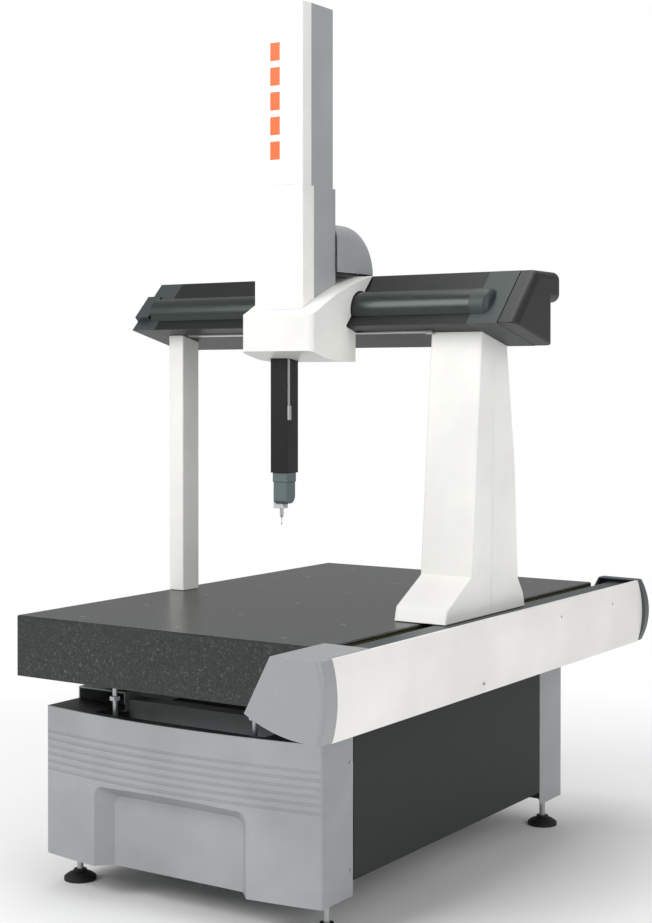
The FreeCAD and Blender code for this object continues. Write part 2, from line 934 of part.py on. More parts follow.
def make_table():
    """The granite table with rows of glued thread inserts."""
    low = S.table_top - S.table_thickness
    body = new_body("granite_table", BASE)
    pad(body, "XY", low, S.table_thickness, rectangle((0, 0), (S.table_width, S.table_depth)))
    bevel_edges(body, S.table_chamfer, lambda p, e: p.z > low.value + 1)
    places = [(table_middle + S.insert_pitch_across * i, S.insert_setback + S.insert_pitch_along * j)
              for i in (-1, 0, 1) for j in range(6)]
    hole = S.insert_radius + S.glue_gap
    pocket(body, "XY", S.table_top - S.insert_depth, S.insert_depth * 2,
           *[circle(spot, hole) for spot in places])
    inserts = []
    for number, (x, y) in enumerate(places, start=1):
        foot = (x, y, S.table_top - S.insert_depth)
        outside = rod(f"insert_{number}_outside", BASE, foot, S.insert_radius, S.insert_depth)
        bore = rod(f"insert_{number}_bore", BASE, plus(foot, (0, 0, S.table_chamfer)),
                   S.insert_bore, S.insert_depth)
        inserts.append(cut(f"insert_{number}", outside, bore))
    return [body, group("thread_inserts", inserts)]


# ---------------------------------------------------------------- table drive

housing_right = S.table_width + S.housing_width
slot_right = S.table_width + S.housing_gap
cover_flat = housing_right + S.cover_thickness
cover_edge = cover_flat + S.cover_bulge
cover_middle = (S.cover_top + S.cover_floor) / 2
cap_top_left = (cover_flat - S.front_cap_upper_reach, S.front_cap_top)
cap_knee = (cover_flat - S.front_cap_reach, S.front_cap_knee)
cap_low = (housing_right - S.cover_thickness, S.front_cap_low)
cap_belly = (housing_right - 120, S.front_cap_low + 15)


def make_housing():
    """The channel along the right of the table, open to a slot at its top."""
    wall = S.housing_wall
    left = S.table_width
    floor = S.housing_floor
    lip_low = S.table_top - S.housing_lip
    body = new_body("drive_housing", BASE)
    pad(body, "XZ", 0, S.housing_length,
        [(left, floor), (left, floor + S.housing_flange),
         (left + wall, floor + S.housing_flange), (left + wall, floor + wall),
         (housing_right - wall, floor + wall), (housing_right - wall, S.table_top - wall),
         (slot_right + wall, S.table_top - wall), (slot_right + wall, lip_low),
         (slot_right, lip_low), (slot_right, S.table_top), (housing_right, S.table_top),
         (housing_right, floor)])
    axle_foot = S.y_pulley_across - pulley_half() - 4
    pad(body, "YZ", axle_foot, housing_right - wall - axle_foot,
        circle((S.y_idler_setback, S.y_pulley_height), S.axle_radius))
    scale = new_body("y_scale", BASE)
    pad(scale, "XZ", 20, S.table_depth - 40,
        rectangle((left, S.table_top - 29), (left + S.scale_thickness, S.table_top - 11)))
    return [body, scale]


def make_side_cover():
    """The long bulged cover on the outer side, with drilled screw seats."""
    wall = S.cover_wall
    body = new_body("side_cover", BASE)
    length = S.housing_length + S.housing_overhang
    pad(body, "XZ", -S.housing_overhang, length,
        [(housing_right, S.cover_top), (housing_right, S.cover_floor),
         (cover_flat, S.cover_floor),
         via((cover_edge, cover_middle), (cover_flat, S.cover_top))])
    inner_left = housing_right + wall
    inner_right = cover_flat - 1
    pocket(body, "XZ", -S.housing_overhang - wall, length + wall * 2,
           [(inner_left, S.cover_top - wall), (inner_left, S.cover_floor + wall),
            (inner_right, S.cover_floor + wall),
            via((cover_edge - wall, cover_middle), (inner_right, S.cover_top - wall))])
    places = [(1128, 791), (1528, 787), (607, 658)]
    radius = S.spindle_radius * 0.4
    pocket(body, "YZ", cover_flat, S.cover_bulge * 2,
           *[circle(spot, radius + S.thread_gap) for spot in places])
    screws = [rod(f"cover_screw_{number}", BASE, (inner_left, y, z), radius,
                  cover_flat - inner_left + 13, "X")
              for number, (y, z) in enumerate(places, start=1)]
    screws += [rod(f"panel_screw_{number}", BASE, (cabinet_right, S.front_return - 15, z),
                   radius, S.sheet, "X")
               for number, z in enumerate((475, 173), start=1)]
    return [body, group("cover_screws", screws)]


def cap_outline(right_edge):
    """The end outline shared by the front and rear caps of the drive."""
    right_low = (cover_flat, S.front_cap_low - 3)
    right_top = (cover_flat, S.front_cap_top - 2)
    return [cap_top_left, cap_knee, via(cap_belly, cap_low), right_low,
            via((right_edge, cover_middle), right_top)]


def make_caps():
    """Moulded caps over the drive motor at the front and the idler at the back."""
    wall = S.cap_wall
    front_face = -S.housing_overhang - S.front_cap_depth
    front = new_body("side_front_cap", BASE)
    pad(front, "XZ", front_face, S.front_cap_depth, cap_outline(cover_edge))
    round_edges(front, S.front_cap_edge,
                lambda p, e: close_to(p.y, front_face) and p.x > cover_flat.value + 1)
    inboard = [cap_top_left, cap_knee, via(cap_belly, cap_low),
               (housing_right, S.front_cap_low - 1), (housing_right, S.front_cap_top - 1)]
    pad(front, "XZ", -S.housing_overhang, S.housing_overhang, inboard)
    inner = [(cap_top_left[0] + wall, cap_top_left[1] - wall),
             (cap_knee[0] + wall * 1.4, cap_knee[1] + wall * 0.5),
             via((cap_belly[0] + 1, cap_belly[1] + wall), (cap_low[0], cap_low[1] + wall)),
             (housing_right - wall, S.front_cap_low + wall),
             (housing_right - wall, S.front_cap_top - wall * 1.25)]
    pocket(front, "XZ", front_face + wall, front_face * -1, inner)
    rear = new_body("side_rear_cap", BASE)
    pad(rear, "XZ", S.housing_length, S.rear_cap_depth, cap_outline(cover_edge + wall * 3))
    back_face = S.housing_length + S.rear_cap_depth
    round_edges(rear, S.front_cap_edge,
                lambda p, e: close_to(p.y, back_face) and p.x > cover_flat.value + 1)
    pocket(rear, "XZ", S.housing_length - wall, S.rear_cap_depth - wall, inner)
    return [front, rear]


def pulley(label, at, foot, radius, axis):
    """A flanged belt pulley with a bore and five lightening holes."""
    rim = radius + S.flange_rise
    width = S.belt_width + 1
    flange = S.flange_width
    bore = S.axle_radius + S.running_gap
    top = width + flange * 2
    body = turned(label, plus(at, foot),
                  [(bore, 0), (rim, 0), (rim, flange), (radius, flange),
                   (radius, flange + width), (rim, flange + width), (rim, top), (bore, top)])
    ring = (radius + bore) / 2
    hole = (radius - bore) / 4
    spots = [circle((ring * math.cos(math.radians(72 * k)),
                     ring * math.sin(math.radians(72 * k))), hole) for k in range(5)]
    pocket(body, "XY", -flange, top + flange * 2, *spots)
    lay_along(body, axis)
    return body


def pulley_half():
    """Half the width of a pulley over its flanges."""
    return (S.belt_width + 1) / 2 + S.flange_width


def motor(label, at, foot, radius, shaft, axis, shaft_first=False):
    """A servo motor with a pilot step and its shaft."""
    pilot = radius * 0.8
    step = S.motor_flange
    length = S.motor_length
    axle = S.axle_radius
    if shaft_first:
        outline = [(0, 0), (axle, 0), (axle, shaft), (radius, shaft), (radius, shaft + step),
                   (pilot, shaft + step), (pilot, shaft + length), (0, shaft + length)]
    else:
        outline = [(0, 0), (pilot, 0), (pilot, length - step), (radius, length - step),
                   (radius, length), (axle, length), (axle, length + shaft),
                   (0, length + shaft)]
    body = turned(label, plus(at, foot), outline)
    lay_along(body, axis)
    return body


def stadium(first, last, height, radius, upright=False):
    """A loop round two equal circles, as one closed outline."""
    if upright:
        start = (height - radius, last)
        return [start, via((height, last + radius), (height + radius, last)),
                (height + radius, first), via((height, first - radius), (height - radius, first))]
    start = (first, height + radius)
    return [start, (last, height + radius),
            via((last + radius, height), (last, height - radius)), (first, height - radius),
            via((first - radius, height), start)]


def belt(label, at, plane, start, loop, radius):
    """A closed belt of even thickness round two pulleys."""
    body = new_body(label, at)
    first, last, level, upright = loop
    inner = radius + S.running_gap
    outer = inner + S.belt_thickness
    pad(body, plane, start, S.belt_width, stadium(first, last, level, outer, upright),
        stadium(first, last, level, inner, upright))
    return body


def make_table_drive():
    """Motor, bracket, pulleys, axle and belt that pull the bridge along the table."""
    height = S.y_pulley_height
    near = S.y_pulley_across - pulley_half()
    plate = near - 2.5 - S.housing_wall
    bracket = new_body("y_motor_bracket", BASE)
    wall = S.housing_wall
    pad(bracket, "XY", height - 60, 74,
        [(cap_knee[0] + 40, 0), (cap_knee[0] + 40, -wall), (plate, -wall),
         (plate, S.y_motor_setback - 45), (plate + wall, S.y_motor_setback - 45),
         (plate + wall, 0)])
    pocket(bracket, "YZ", plate - wall, wall * 3,
           circle((S.y_motor_setback, height), S.axle_radius + 2))
    drive = motor("y_motor", BASE, (plate - S.motor_length, S.y_motor_setback, height),
                  S.motor_radius, pulley_half() * 2 + wall + 4, "X")
    drive_pulley = pulley("y_drive_pulley", BASE, (near, S.y_motor_setback, height),
                          S.y_pulley_radius, "X")
    idler = pulley("y_idler_pulley", BASE, (near, S.y_idler_setback, height),
                   S.y_pulley_radius, "X")
    loop = (S.y_motor_setback, S.y_idler_setback, height, False)
    band = belt("y_belt", BASE, "YZ", S.y_pulley_across - S.belt_width / 2, loop,
                S.y_pulley_radius)
    return [bracket, drive, drive_pulley, idler, band]


# ---------------------------------------------------------------- bridge

beam_top = S.beam_height + S.beam_rise
slope_run = S.beam_top_front + S.beam_lip
slope_length = root(slope_run * slope_run + S.beam_rise * S.beam_rise)
slope_across = slope_run / slope_length
slope_up = S.beam_rise / slope_length
under_run = S.beam_back + S.beam_lip
under_slope = S.beam_drop / under_run
beam_section = [(S.beam_top_front, beam_top), (-S.beam_lip, S.beam_height),
                (S.beam_back, S.beam_height - S.beam_drop), (S.beam_back, beam_top)]
body_left = S.left_cover_length - S.beam_overhang
body_right = S.beam_length - S.beam_overhang - S.right_cover_length
beam_end = S.beam_length - S.beam_overhang
x_motor_across = beam_end - S.x_motor_setback
trough_back = S.beam_back + S.trough_depth
trough_base = beam_top - S.trough_height


def under_beam(y):
    """Height of the beam's sloping underside at a depth, in the bridge's datum."""
    return S.beam_height - under_slope * (as_size(y) + S.beam_lip)


def on_slope(along, out, front=None, base=None):
    """A point on the beam's slanted face: a distance up it and a distance off it."""
    front = -S.beam_lip if front is None else front
    base = S.beam_height if base is None else base
    return (front + slope_across * along - slope_up * out, base + slope_up * along + slope_across * out)


def make_beam():
    """The hollow beam body and its two end covers."""
    body = new_body("beam_body", BRIDGE)
    pad(body, "YZ", body_left, body_right - body_left, beam_section)
    wall = S.beam_wall
    pocket(body, "YZ", body_left - wall, body_right - body_left + wall * 2,
           inset(beam_section, [wall] * 4))
    skin = S.cover_skin
    covers = []
    for name, start, end, gap in [("left", -S.beam_overhang, body_left, skin),
                                  ("right", body_right, beam_end, 0)]:
        cover = new_body(f"beam_end_cover_{name}", BRIDGE)
        pad(cover, "YZ", start, end - start, beam_section)
        pocket(cover, "YZ", start + gap, end - start, inset(beam_section, [skin] * 4))
        covers.append(cover)
    level = S.beam_height + S.x_pulley_rise
    pocket(covers[1], "XZ", S.beam_back - skin * 2, skin * 3,
           circle((x_motor_across, level), S.axle_radius + 2))
    pad(covers[0], "XZ", S.beam_back - 1, S.trough_depth / 2 + pulley_half() + 1,
        circle((S.x_idler_across, level), S.axle_radius))
    return [body] + covers


def make_beam_cap():
    """The rounded cap that closes the right end of the beam and of the rear trough."""
    cap = new_body("beam_end_cap", BRIDGE)
    outline = [(S.beam_top_front, beam_top), (-S.beam_lip, S.beam_height),
               (S.beam_back, S.beam_height - S.beam_drop), (S.beam_back, trough_base),
               (trough_back, trough_base), (trough_back, beam_top)]
    pad(cap, "YZ", beam_end, S.end_cap_depth, outline)
    outer = beam_end + S.end_cap_depth
    round_edges(cap, S.end_cap_round, lambda p, e: close_to(p.x, outer) and p.z > 850
                and p.y < trough_back.value - 1)
    pocket(cap, "YZ", beam_end - 1, S.end_cap_depth - 16, inset(outline, [14] * 6))
    return cap


def make_tube():
    """The rounded cable cover on the slanted face, its right end and its left block."""
    start = S.tube_start
    end = S.tube_end
    middle = (start + end) / 2
    wall = S.tube_wall_thickness
    proud = S.tube_proud
    outer = [on_slope(start, 0), via(on_slope(middle, proud), on_slope(end, 0))]
    inner = [on_slope(start + wall, -wall), on_slope(start + wall, 0),
             via(on_slope(middle, proud - wall), on_slope(end - wall, 0)),
             on_slope(end - wall, -wall)]
    cover = new_body("tube_cover", BRIDGE)
    length = S.tube_right - S.tube_left
    pad(cover, "YZ", S.tube_left, length, outer)
    pocket(cover, "YZ", S.tube_left - wall, length + wall * 2, inner)
    cap = new_body("tube_cover_right_end", BRIDGE)
    pad(cap, "YZ", S.tube_right, S.tube_cap_length, outer)
    far = S.tube_right + S.tube_cap_length
    round_edges(cap, proud * 0.6,
                lambda p, e: close_to(p.x, far) and isinstance(e.Curve, Part.Circle))
    block = new_body("tube_cover_left_end", BRIDGE)
    depth = S.tube_block_proud
    outline = [on_slope(start, 0), on_slope(start, depth), on_slope(end, depth), on_slope(end, 0)]
    pad(block, "YZ", S.tube_left - S.tube_block_length, S.tube_block_length, outline)
    pocket(block, "YZ", S.tube_left - S.tube_block_length + wall, S.tube_block_length,
           inset(outline, [wall, wall, wall, -wall]))
    return [cover, group("tube_cover_ends", [cap, block])]


def under_point(along, out):
    """A point on the beam's underside: a distance back along it and a distance below it."""
    length = root(as_size(1) + under_slope * under_slope)
    return ((along - under_slope * out) / length - S.beam_lip,
            S.beam_height - (under_slope * along + out) / length)


def make_beam_scale():
    """The measuring scale under the beam and its end anchor."""
    parts = []
    for name, left, right, depth in [
            ("x_scale_strip", S.scale_left, S.scale_right, S.scale_thickness),
            ("x_scale_anchor", S.scale_right, S.scale_right + 26, S.scale_thickness * 2)]:
        body = new_body(name, BRIDGE)
        near = S.scale_start
        far = S.scale_start + S.scale_width
        pad(body, "YZ", left, right - left,
            [under_point(near, 0), under_point(far, 0), under_point(far, depth),
             under_point(near, depth)])
        parts.append(body)
    return group("x_scale", parts)


def make_trough():
    """The rear channel that holds the beam's belt, slotted along its back."""
    wall = S.trough_wall
    body = new_body("rear_trough", BRIDGE)
    front = S.beam_back
    slot_low = S.beam_height + S.trough_slot_low
    slot_high = S.beam_height + S.trough_slot_high
    left = -S.beam_overhang
    pad(body, "YZ", left, S.beam_length,
        [(front, trough_base), (trough_back, trough_base), (trough_back, slot_low),
         (trough_back - wall, slot_low), (trough_back - wall, trough_base + wall),
         (front + wall, trough_base + wall), (front + wall, beam_top - wall),
         (trough_back - wall, beam_top - wall), (trough_back - wall, slot_high),
         (trough_back, slot_high), (trough_back, beam_top), (front, beam_top)])
    pad(body, "YZ", left, wall, rectangle((front, trough_base), (trough_back, beam_top)))
    level = S.beam_height + S.x_pulley_rise
    pocket(body, "XZ", front - wall, wall * 3,
           circle((x_motor_across, level), S.axle_radius + 2),
           circle((S.x_idler_across, level), S.axle_radius + S.running_gap))
    return body


def make_beam_drive():
    """Motor, pulleys, axle and belt that pull the carriage along the beam."""
    level = S.beam_height + S.x_pulley_rise
    middle = S.beam_back + S.trough_depth / 2
    near = middle - pulley_half()
    inner_face = S.beam_back - S.cover_skin
    shaft = near + pulley_half() * 2 - inner_face
    drive = motor("x_motor", BRIDGE, (x_motor_across, inner_face - S.motor_length, level),
                  S.motor_radius, shaft, "Y")
    wheels = [pulley(name, BRIDGE, (x, near, level), S.x_pulley_radius, "Y")
              for name, x in [("x_drive_pulley", x_motor_across),
                              ("x_idler_pulley", S.x_idler_across)]]
    loop = (S.x_idler_across, x_motor_across, level, False)
    band = belt("x_belt", BRIDGE, "XZ", middle - S.belt_width / 2, loop, S.x_pulley_radius)
    return [drive] + wheels + [band]


def air_pad(label, at, foot, radius, height, axis="Z"):
    """A round air bearing pad with its ball seat."""
    body = turned(label, plus(at, foot),
                  [(0, 0), (radius, 0), (radius, height * 0.45), (radius * 0.6, height * 0.65),
                   (radius * 0.6, height), (0, height)])
    if axis != "Z":
        lay_along(body, axis)
    return body


def make_left_column():
    """The slim left column, its foot and its air pad."""
    left = S.column_left
    right = left + S.column_width
    half = S.column_depth / 2
    wall = S.column_wall
    column = new_body("left_column", BRIDGE)
    pad(column, "YZ", left, S.column_width,
        [(-half, S.skirt_gap), (half, S.skirt_gap), (half, under_beam(half)),
         (-half, under_beam(-half))])
    round_edges(column, wall, lambda p, e: runs_along(e, "z"))
    pocket(column, "XY", 0, S.beam_height,
           rectangle((left + wall, -half + wall), (right - wall, half - wall)))
    pad(column, "XY", S.air_pad_height, S.air_pad_height * 2.5,
        rectangle((left + wall - 1, -half + wall - 1), (right - wall + 1, half - wall + 1)))
    return column


def make_leg():
    """The broad right leg: casting, split covers and air pads on two faces of the granite."""
    left = S.leg_left
    right = left + S.leg_width
    skin = S.cover_skin
    floor = S.skirt_gap
    toe = (S.foot_front, floor)
    toe_top = (S.foot_front + S.foot_toe_slope, S.foot_toe_height)
    shin = (S.leg_front_low, S.leg_knee_height)
    front_top = (S.leg_front_top, under_beam(S.leg_front_top))
    seam_front = (S.seam_low - S.seam_gap, floor)
    seam_front_top = (S.seam_top - S.seam_gap, under_beam(S.seam_top - S.seam_gap))
    seam_back = (S.seam_low + S.seam_gap, floor)
    seam_back_top = (S.seam_top + S.seam_gap, under_beam(S.seam_top + S.seam_gap))
    back_top = (S.leg_back_top, under_beam(S.leg_back_top))
    back_middle = (S.leg_back_middle, S.leg_middle_height)
    calf = (S.leg_back_low, S.heel_height)
    heel = (S.heel_back, S.heel_low_height)
    heel_low = (S.foot_back, floor)
    shells = []
    for name, outline, walls in [
            ("leg_front_cover", [front_top, shin, toe_top, toe, seam_front, seam_front_top],
             [skin, skin, skin, -skin, -skin, -skin]),
            ("leg_rear_cover", [seam_back_top, seam_back, heel_low, heel, calf, back_middle,
                                back_top], [-skin, -skin, skin, skin, skin, skin, -skin])]:
        shell = new_body(name, BRIDGE)
        pad(shell, "YZ", left, S.leg_width, outline)
        if name == "leg_front_cover":
            round_edges(shell, S.leg_edge, lambda p, e: not runs_along(e, "x")
                        and p.y < -40 and p.z > S.skirt_gap.value + 1)
        pocket(shell, "YZ", left + skin, S.leg_width - skin * 2, inset(outline, walls))
        shells.append(shell)
    core = new_body("right_leg", BRIDGE)
    pad_top = S.air_pad_height + 2
    front_y = S.leg_front_low + S.leg_core_back + 5
    top_front = S.leg_front_top + S.leg_core_front + 2
    top_back = S.leg_back_top - S.leg_core_back
    pad(core, "YZ", left + skin, S.leg_width - skin * 2,
        [(top_front, under_beam(top_front)), (front_y, S.leg_knee_height - 24), (front_y, pad_top),
         (S.leg_back_low - 11, pad_top), (S.leg_back_low - S.leg_core_back, S.heel_height),
         (S.leg_back_middle - S.leg_core_back, S.leg_middle_height),
         (top_back, under_beam(top_back))])
    hollow_low = S.leg_knee_height + 36
    pocket(core, "YZ", left + skin + 12, S.leg_width - skin * 2 - 24,
           [(top_front + 10, S.beam_height), (front_y + 12, hollow_low),
            (S.leg_back_low - S.leg_core_back - 20, hollow_low),
            (S.leg_back_middle - S.leg_core_back - 14, S.leg_middle_height),
            (top_back - 14, S.beam_height)])
    shoe_front = S.leg_pad_front - S.leg_pad_radius - 4
    shoe_back = S.leg_pad_back + S.leg_pad_radius
    pad(core, "XY", pad_top, 18,
        rectangle((left + skin + 3, shoe_front), (S.table_width - 6, shoe_back)))
    web_left = S.table_width + S.web_setback
    web_right = web_left + S.web_thickness
    pad(core, "XZ", -S.web_half_length, S.web_half_length * 2,
        rectangle((web_left, -S.web_depth), (web_right, pad_top + 2)))
    belt_top = S.y_pulley_height + S.y_pulley_radius + S.running_gap + S.belt_thickness
    arm_low = belt_top - S.table_top
    half_arm = S.belt_arm_length / 2
    pad(core, "XZ", -half_arm, S.belt_arm_length,
        rectangle((web_right - 1, arm_low), (S.y_pulley_across + 17, arm_low + S.belt_arm_height)))
    foot_middle = left + skin + 3 + S.leg_pad_radius
    side_height = S.y_pulley_height + 11 - S.table_top
    shoes = [air_pad(f"foot_air_pad_{number}", BRIDGE, (foot_middle, y, 0), S.leg_pad_radius,
                     pad_top) for number, y in enumerate((S.leg_pad_front, S.leg_pad_back), 1)]
    shoes += [air_pad(f"side_air_pad_{number}", BRIDGE, (S.table_width, y, side_height),
                      S.side_pad_radius, S.web_setback, "X")
              for number, y in enumerate((-80, 80), 1)]
    shoes.append(air_pad("column_air_pad", BRIDGE, (S.column_left + S.column_width / 2, 0, 0),
                         S.air_pad_radius, S.air_pad_height))
    return shells + [core, group("bridge_air_pads", shoes)]


# ---------------------------------------------------------------- carriage

def beside_slope(along, out):
    """A point off the beam's slanted face, in the carriage's datum."""
    return on_slope(along, out, S.ram_reach, as_size(0))


shoulder_foot = (20 - S.nose_front + 23, S.shoulder_start)
beam_front_top = (S.ram_reach + slope_run, S.beam_rise)
beam_back_face = S.ram_reach + under_run
shoulder_middle = (S.shoulder_middle_back, S.shoulder_middle)
shoulder_end = (beam_front_top[0] - 8, beam_front_top[1])


def make_carriage_frame():
    """The casting that wraps over the beam and carries the ram guide and the belt lug."""
    frame = new_body("carriage_casting", CARRIAGE)
    front = S.frame_front
    back = front + S.frame_thickness
    tube_middle = (S.tube_start + S.tube_end) / 2
    stand = as_size(12)
    start = S.tube_start - 5
    end = S.tube_end + 5
    pad(frame, "YZ", -S.frame_left, S.frame_left + S.frame_right,
        [(front, -S.frame_low), (back, -S.frame_low), (back, 5), beside_slope(8, stand),
         beside_slope(start, stand),
         via(beside_slope(tube_middle, S.tube_proud + stand), beside_slope(end, stand)),
         beside_slope(190, stand), beside_slope(190, 18), (80, 106), (front, 84)])
    arm_front = S.arm_back - 20
    width = S.arm_left + S.arm_right
    pad(frame, "YZ", -S.arm_left, width,
        [(front, 40), (back, 40), (back, S.arm_base), (arm_front, S.arm_base), (arm_front, -40),
         (S.arm_back, -40), (S.arm_back, S.arm_top), (front, S.arm_top)])
    belt_low = S.x_pulley_rise + S.x_pulley_radius + S.running_gap
    middle = beam_back_face + S.trough_depth / 2
    pad(frame, "YZ", -20, 40,
        rectangle((middle - S.belt_width / 2, belt_low - 14), (arm_front + 1, belt_low)))
    return frame


def make_beam_pads():
    """Air pads between the carriage and the faces of the beam."""
    pads = []
    for number, (x, along, width) in enumerate(
            [(-30, 8, 28), (120, 8, 28), (-30, 154, 32), (120, 154, 32)], start=1):
        body = new_body(f"beam_pad_{number}", CARRIAGE)
        pad(body, "YZ", x - 20, 40,
            [beside_slope(along, 0), beside_slope(along + width, 0),
             beside_slope(along + width, 12), beside_slope(along, 12)])
        pads.append(body)
    pads.append(box("beam_pad_5", CARRIAGE, (-30, beam_back_face, -30),
                    (30, S.arm_back - 20, 40)))
    pads.append(box("beam_pad_6", CARRIAGE, (-30, beam_front_top[0] + 30, S.beam_rise),
                    (30, beam_back_face - 10, S.arm_base)))
    return pads


def make_carriage_cover():
    """The nose cover: sloping shoulders, a bowed underside and a notch for the cable cover."""
    body = new_body("carriage_cover", CARRIAGE)
    gap = S.contour_gap
    low = -S.nose_bottom
    start = (-S.nose_front, -S.nose_low)
    tube_middle = (S.tube_start + S.tube_end) / 2
    edge = S.ram_reach - gap
    pad(body, "YZ", -S.nose_left, S.nose_left + S.nose_right,
        [start, (-S.nose_front, S.nose_high), shoulder_foot, via(shoulder_middle, shoulder_end),
         beside_slope(S.tube_end + S.tube_gap, gap),
         via(beside_slope(tube_middle, S.tube_proud + S.tube_gap),
             beside_slope(S.tube_start - S.tube_gap, gap)),
         beside_slope(0, gap), (edge, -gap), (S.nose_back, -19), (S.nose_back, low),
         (40, low + 1), via((-50, low + 13), start)])
    round_edges(body, S.nose_corner,
                lambda p, e: close_to(p.y, -S.nose_front) and runs_along(e, "z"))
    wall = S.nose_wall
    skin = S.carriage_skin
    inner_start = (-S.nose_front + wall, -S.nose_low + skin)
    pocket(body, "YZ", -S.nose_left + wall, S.nose_left + S.nose_right - wall * 2,
           [inner_start, (-S.nose_front + wall, S.nose_high - skin * 0.6),
            (shoulder_foot[0] + 1, shoulder_foot[1] - skin),
            via((shoulder_middle[0] + 1, shoulder_middle[1] - skin),
                (shoulder_end[0] + 2, shoulder_end[1] - skin)),
            (beam_front_top[0] + 4, beam_front_top[1] - skin), (S.nose_back - skin, 0),
            (S.nose_back - skin, low + skin), (40, low + skin + 1),
            via((-50, low + skin + 13), inner_start)])
    guide = S.guide_half + 1
    pocket(body, "XY", 20, 200,
           rectangle((-guide, -guide), (S.spine_right, S.tower_back - 9)))
    pocket(body, "XY", low - 5, 35, rectangle((-36, -36), (42, 36)))
    return body


def make_guide():
    """The square ram guide and its eight air pads."""
    half = S.guide_half
    inner = S.guide_inside
    outside = box("guide_outside", CARRIAGE, (-half, -half, -S.guide_low),
                  (half, S.guide_back, S.guide_top))
    inside = box("guide_inside", CARRIAGE, (-inner, -inner, -S.guide_low - 1),
                 (inner, S.guide_back - 4, S.guide_top + 1))
    guide = cut("ram_guide", outside, inside)
    frame = fuse("carriage_frame", make_carriage_frame(), guide)
    near = S.ram_half + S.air_gap
    back = S.guide_back - 4
    pads = []
    for base in (-S.guide_low + 5, S.guide_top - S.ram_pad_length - 5):
        top = base + S.ram_pad_length
        spans = [((-inner, -20, base), (-near, 20, top)), ((near, -12, base), (inner, 26, top)),
                 ((-24, -inner, base), (24, -near, top)), ((-24, near, base), (24, back, top))]
        for low, high in spans:
            pads.append(box(f"ram_pad_{len(pads) + 1}", CARRIAGE, low, high))
    return [frame, group("carriage_air_pads", make_beam_pads() + pads)]


def tower_front(label, left, seam, low, high):
    """The light front half of a tower stage, with its softly rounded right side."""
    front = -S.tower_front
    right = S.tower_right
    skin = S.carriage_skin
    body = new_body(label, CARRIAGE)
    bend = (S.tower_flat + right) / 2
    pad(body, "XY", low, high - low,
        [(-left, seam), (-left, front), (S.tower_flat, front),
         via((bend, front + S.tower_corner * 0.28), (right, front + S.tower_corner)),
         (right, seam)])
    round_edges(body, S.tower_edge, lambda p, e: runs_along(e, "z")
                and p.y < front.value + 6 and (p.x < 0 or close_to(p.x, right)))
    pocket(body, "XY", low - skin, high - low,
           [(-left + skin, seam + skin), (-left + skin, front + skin),
            (S.tower_flat, front + skin),
            via((bend, front + S.tower_corner * 0.28 + skin),
                (right - skin, front + S.tower_corner + skin)),
            (right - skin, seam + skin)])
    return body


def tower_rear(label, left, seam, back, low, high):
    """The darker rear half of a tower stage."""
    right = S.tower_right
    skin = S.carriage_skin
    body = new_body(label, CARRIAGE)
    pad(body, "XY", low, high - low, rectangle((-left, seam), (right, back)))
    round_edges(body, S.tower_edge, lambda p, e: runs_along(e, "z") and close_to(p.y, back))
    pocket(body, "XY", low - skin, high - low,
           rectangle((-left + skin, seam - skin), (right - skin, back - skin)))
    return body


def trim_to_shoulder(body):
    """Cut the foot of a tower stage to the carriage's curved shoulder."""
    gap = S.running_gap
    pocket(body, "YZ", -S.nose_left, S.nose_left + S.nose_right,
           [(-S.nose_front, -10), (-S.nose_front, shoulder_foot[1] + gap - 18),
            (shoulder_foot[0], shoulder_foot[1] + gap),
            via((shoulder_middle[0], shoulder_middle[1] + gap),
                (shoulder_end[0], shoulder_end[1] + gap)), (shoulder_end[0], -10)])


def make_tower():
    """The stepped tower covers over the ram and its drive."""
    step = S.tower_step
    low = as_size(10)
    upper_front = tower_front("tower_front_cover", S.tower_left, S.tower_seam, step,
                              S.tower_top)
    upper_rear = tower_rear("tower_rear_upper", S.tower_left, S.tower_seam, S.tower_back, step,
                            S.tower_top)
    base_front = tower_front("tower_base_front_cover", S.tower_base_left, S.tower_base_seam,
                             low, step)
    base_rear = tower_rear("tower_rear_base", S.tower_base_left, S.tower_base_seam,
                           S.tower_base_back, low, step)
    skin = S.carriage_skin
    inner_left = -S.tower_left + skin
    inner_right = S.tower_right - skin
    pocket(base_front, "XY", step - skin * 2, skin * 3,
           rectangle((inner_left, -S.tower_front + skin * 3), (inner_right, S.tower_base_seam + 1)))
    pocket(base_rear, "XY", step - skin * 2, skin * 3,
           rectangle((inner_left, S.tower_base_seam - 1), (inner_right, S.tower_back - skin)))
    for body in (base_front, base_rear):
        trim_to_shoulder(body)
    pocket(base_rear, "XZ", S.tower_base_back - skin * 2, skin * 4,
           rectangle((-S.arm_left - 2, 150), (S.spine_right, 280)))
    return [upper_front, base_front, fuse("tower_rear_cover", upper_rear, base_rear)]


def dome_solid(label, margin):
    """The rounded motor dome as a solid, drawn in by a margin."""
    body = new_body(label, CARRIAGE)
    front = S.tower_base_back - margin
    back = S.dome_back - margin
    top = S.dome_top - margin
    base = S.dome_base - margin
    pad(body, "YZ", margin - S.dome_left, S.dome_left + S.dome_right - margin * 2,
        [(front, base), (back, base), (back, base + 20),
         via((S.tower_base_back + 205 - margin * 0.7, top - 50), (S.tower_base_back + 90, top)),
         (front, top)])
    round_edges(body, S.dome_round - margin,
                lambda p, e: not runs_along(e, "x") and p.z > base.value + 21
                and p.y > front.value + 1)
    return body


def make_dome():
    """The dome cover behind the tower, notched over the arm, and its base strip."""
    skin = S.carriage_skin
    outside = dome_solid("dome_outside", as_size(0))
    inside = dome_solid("dome_inside", skin)
    notch = box("dome_notch", CARRIAGE, (-S.arm_left - 2, S.dome_back - S.dome_round - 5, S.dome_base - 10),
                (S.arm_right + 2, S.dome_back + 10, S.arm_top + 3))
    return cut("dome_cover", outside, inside, notch)


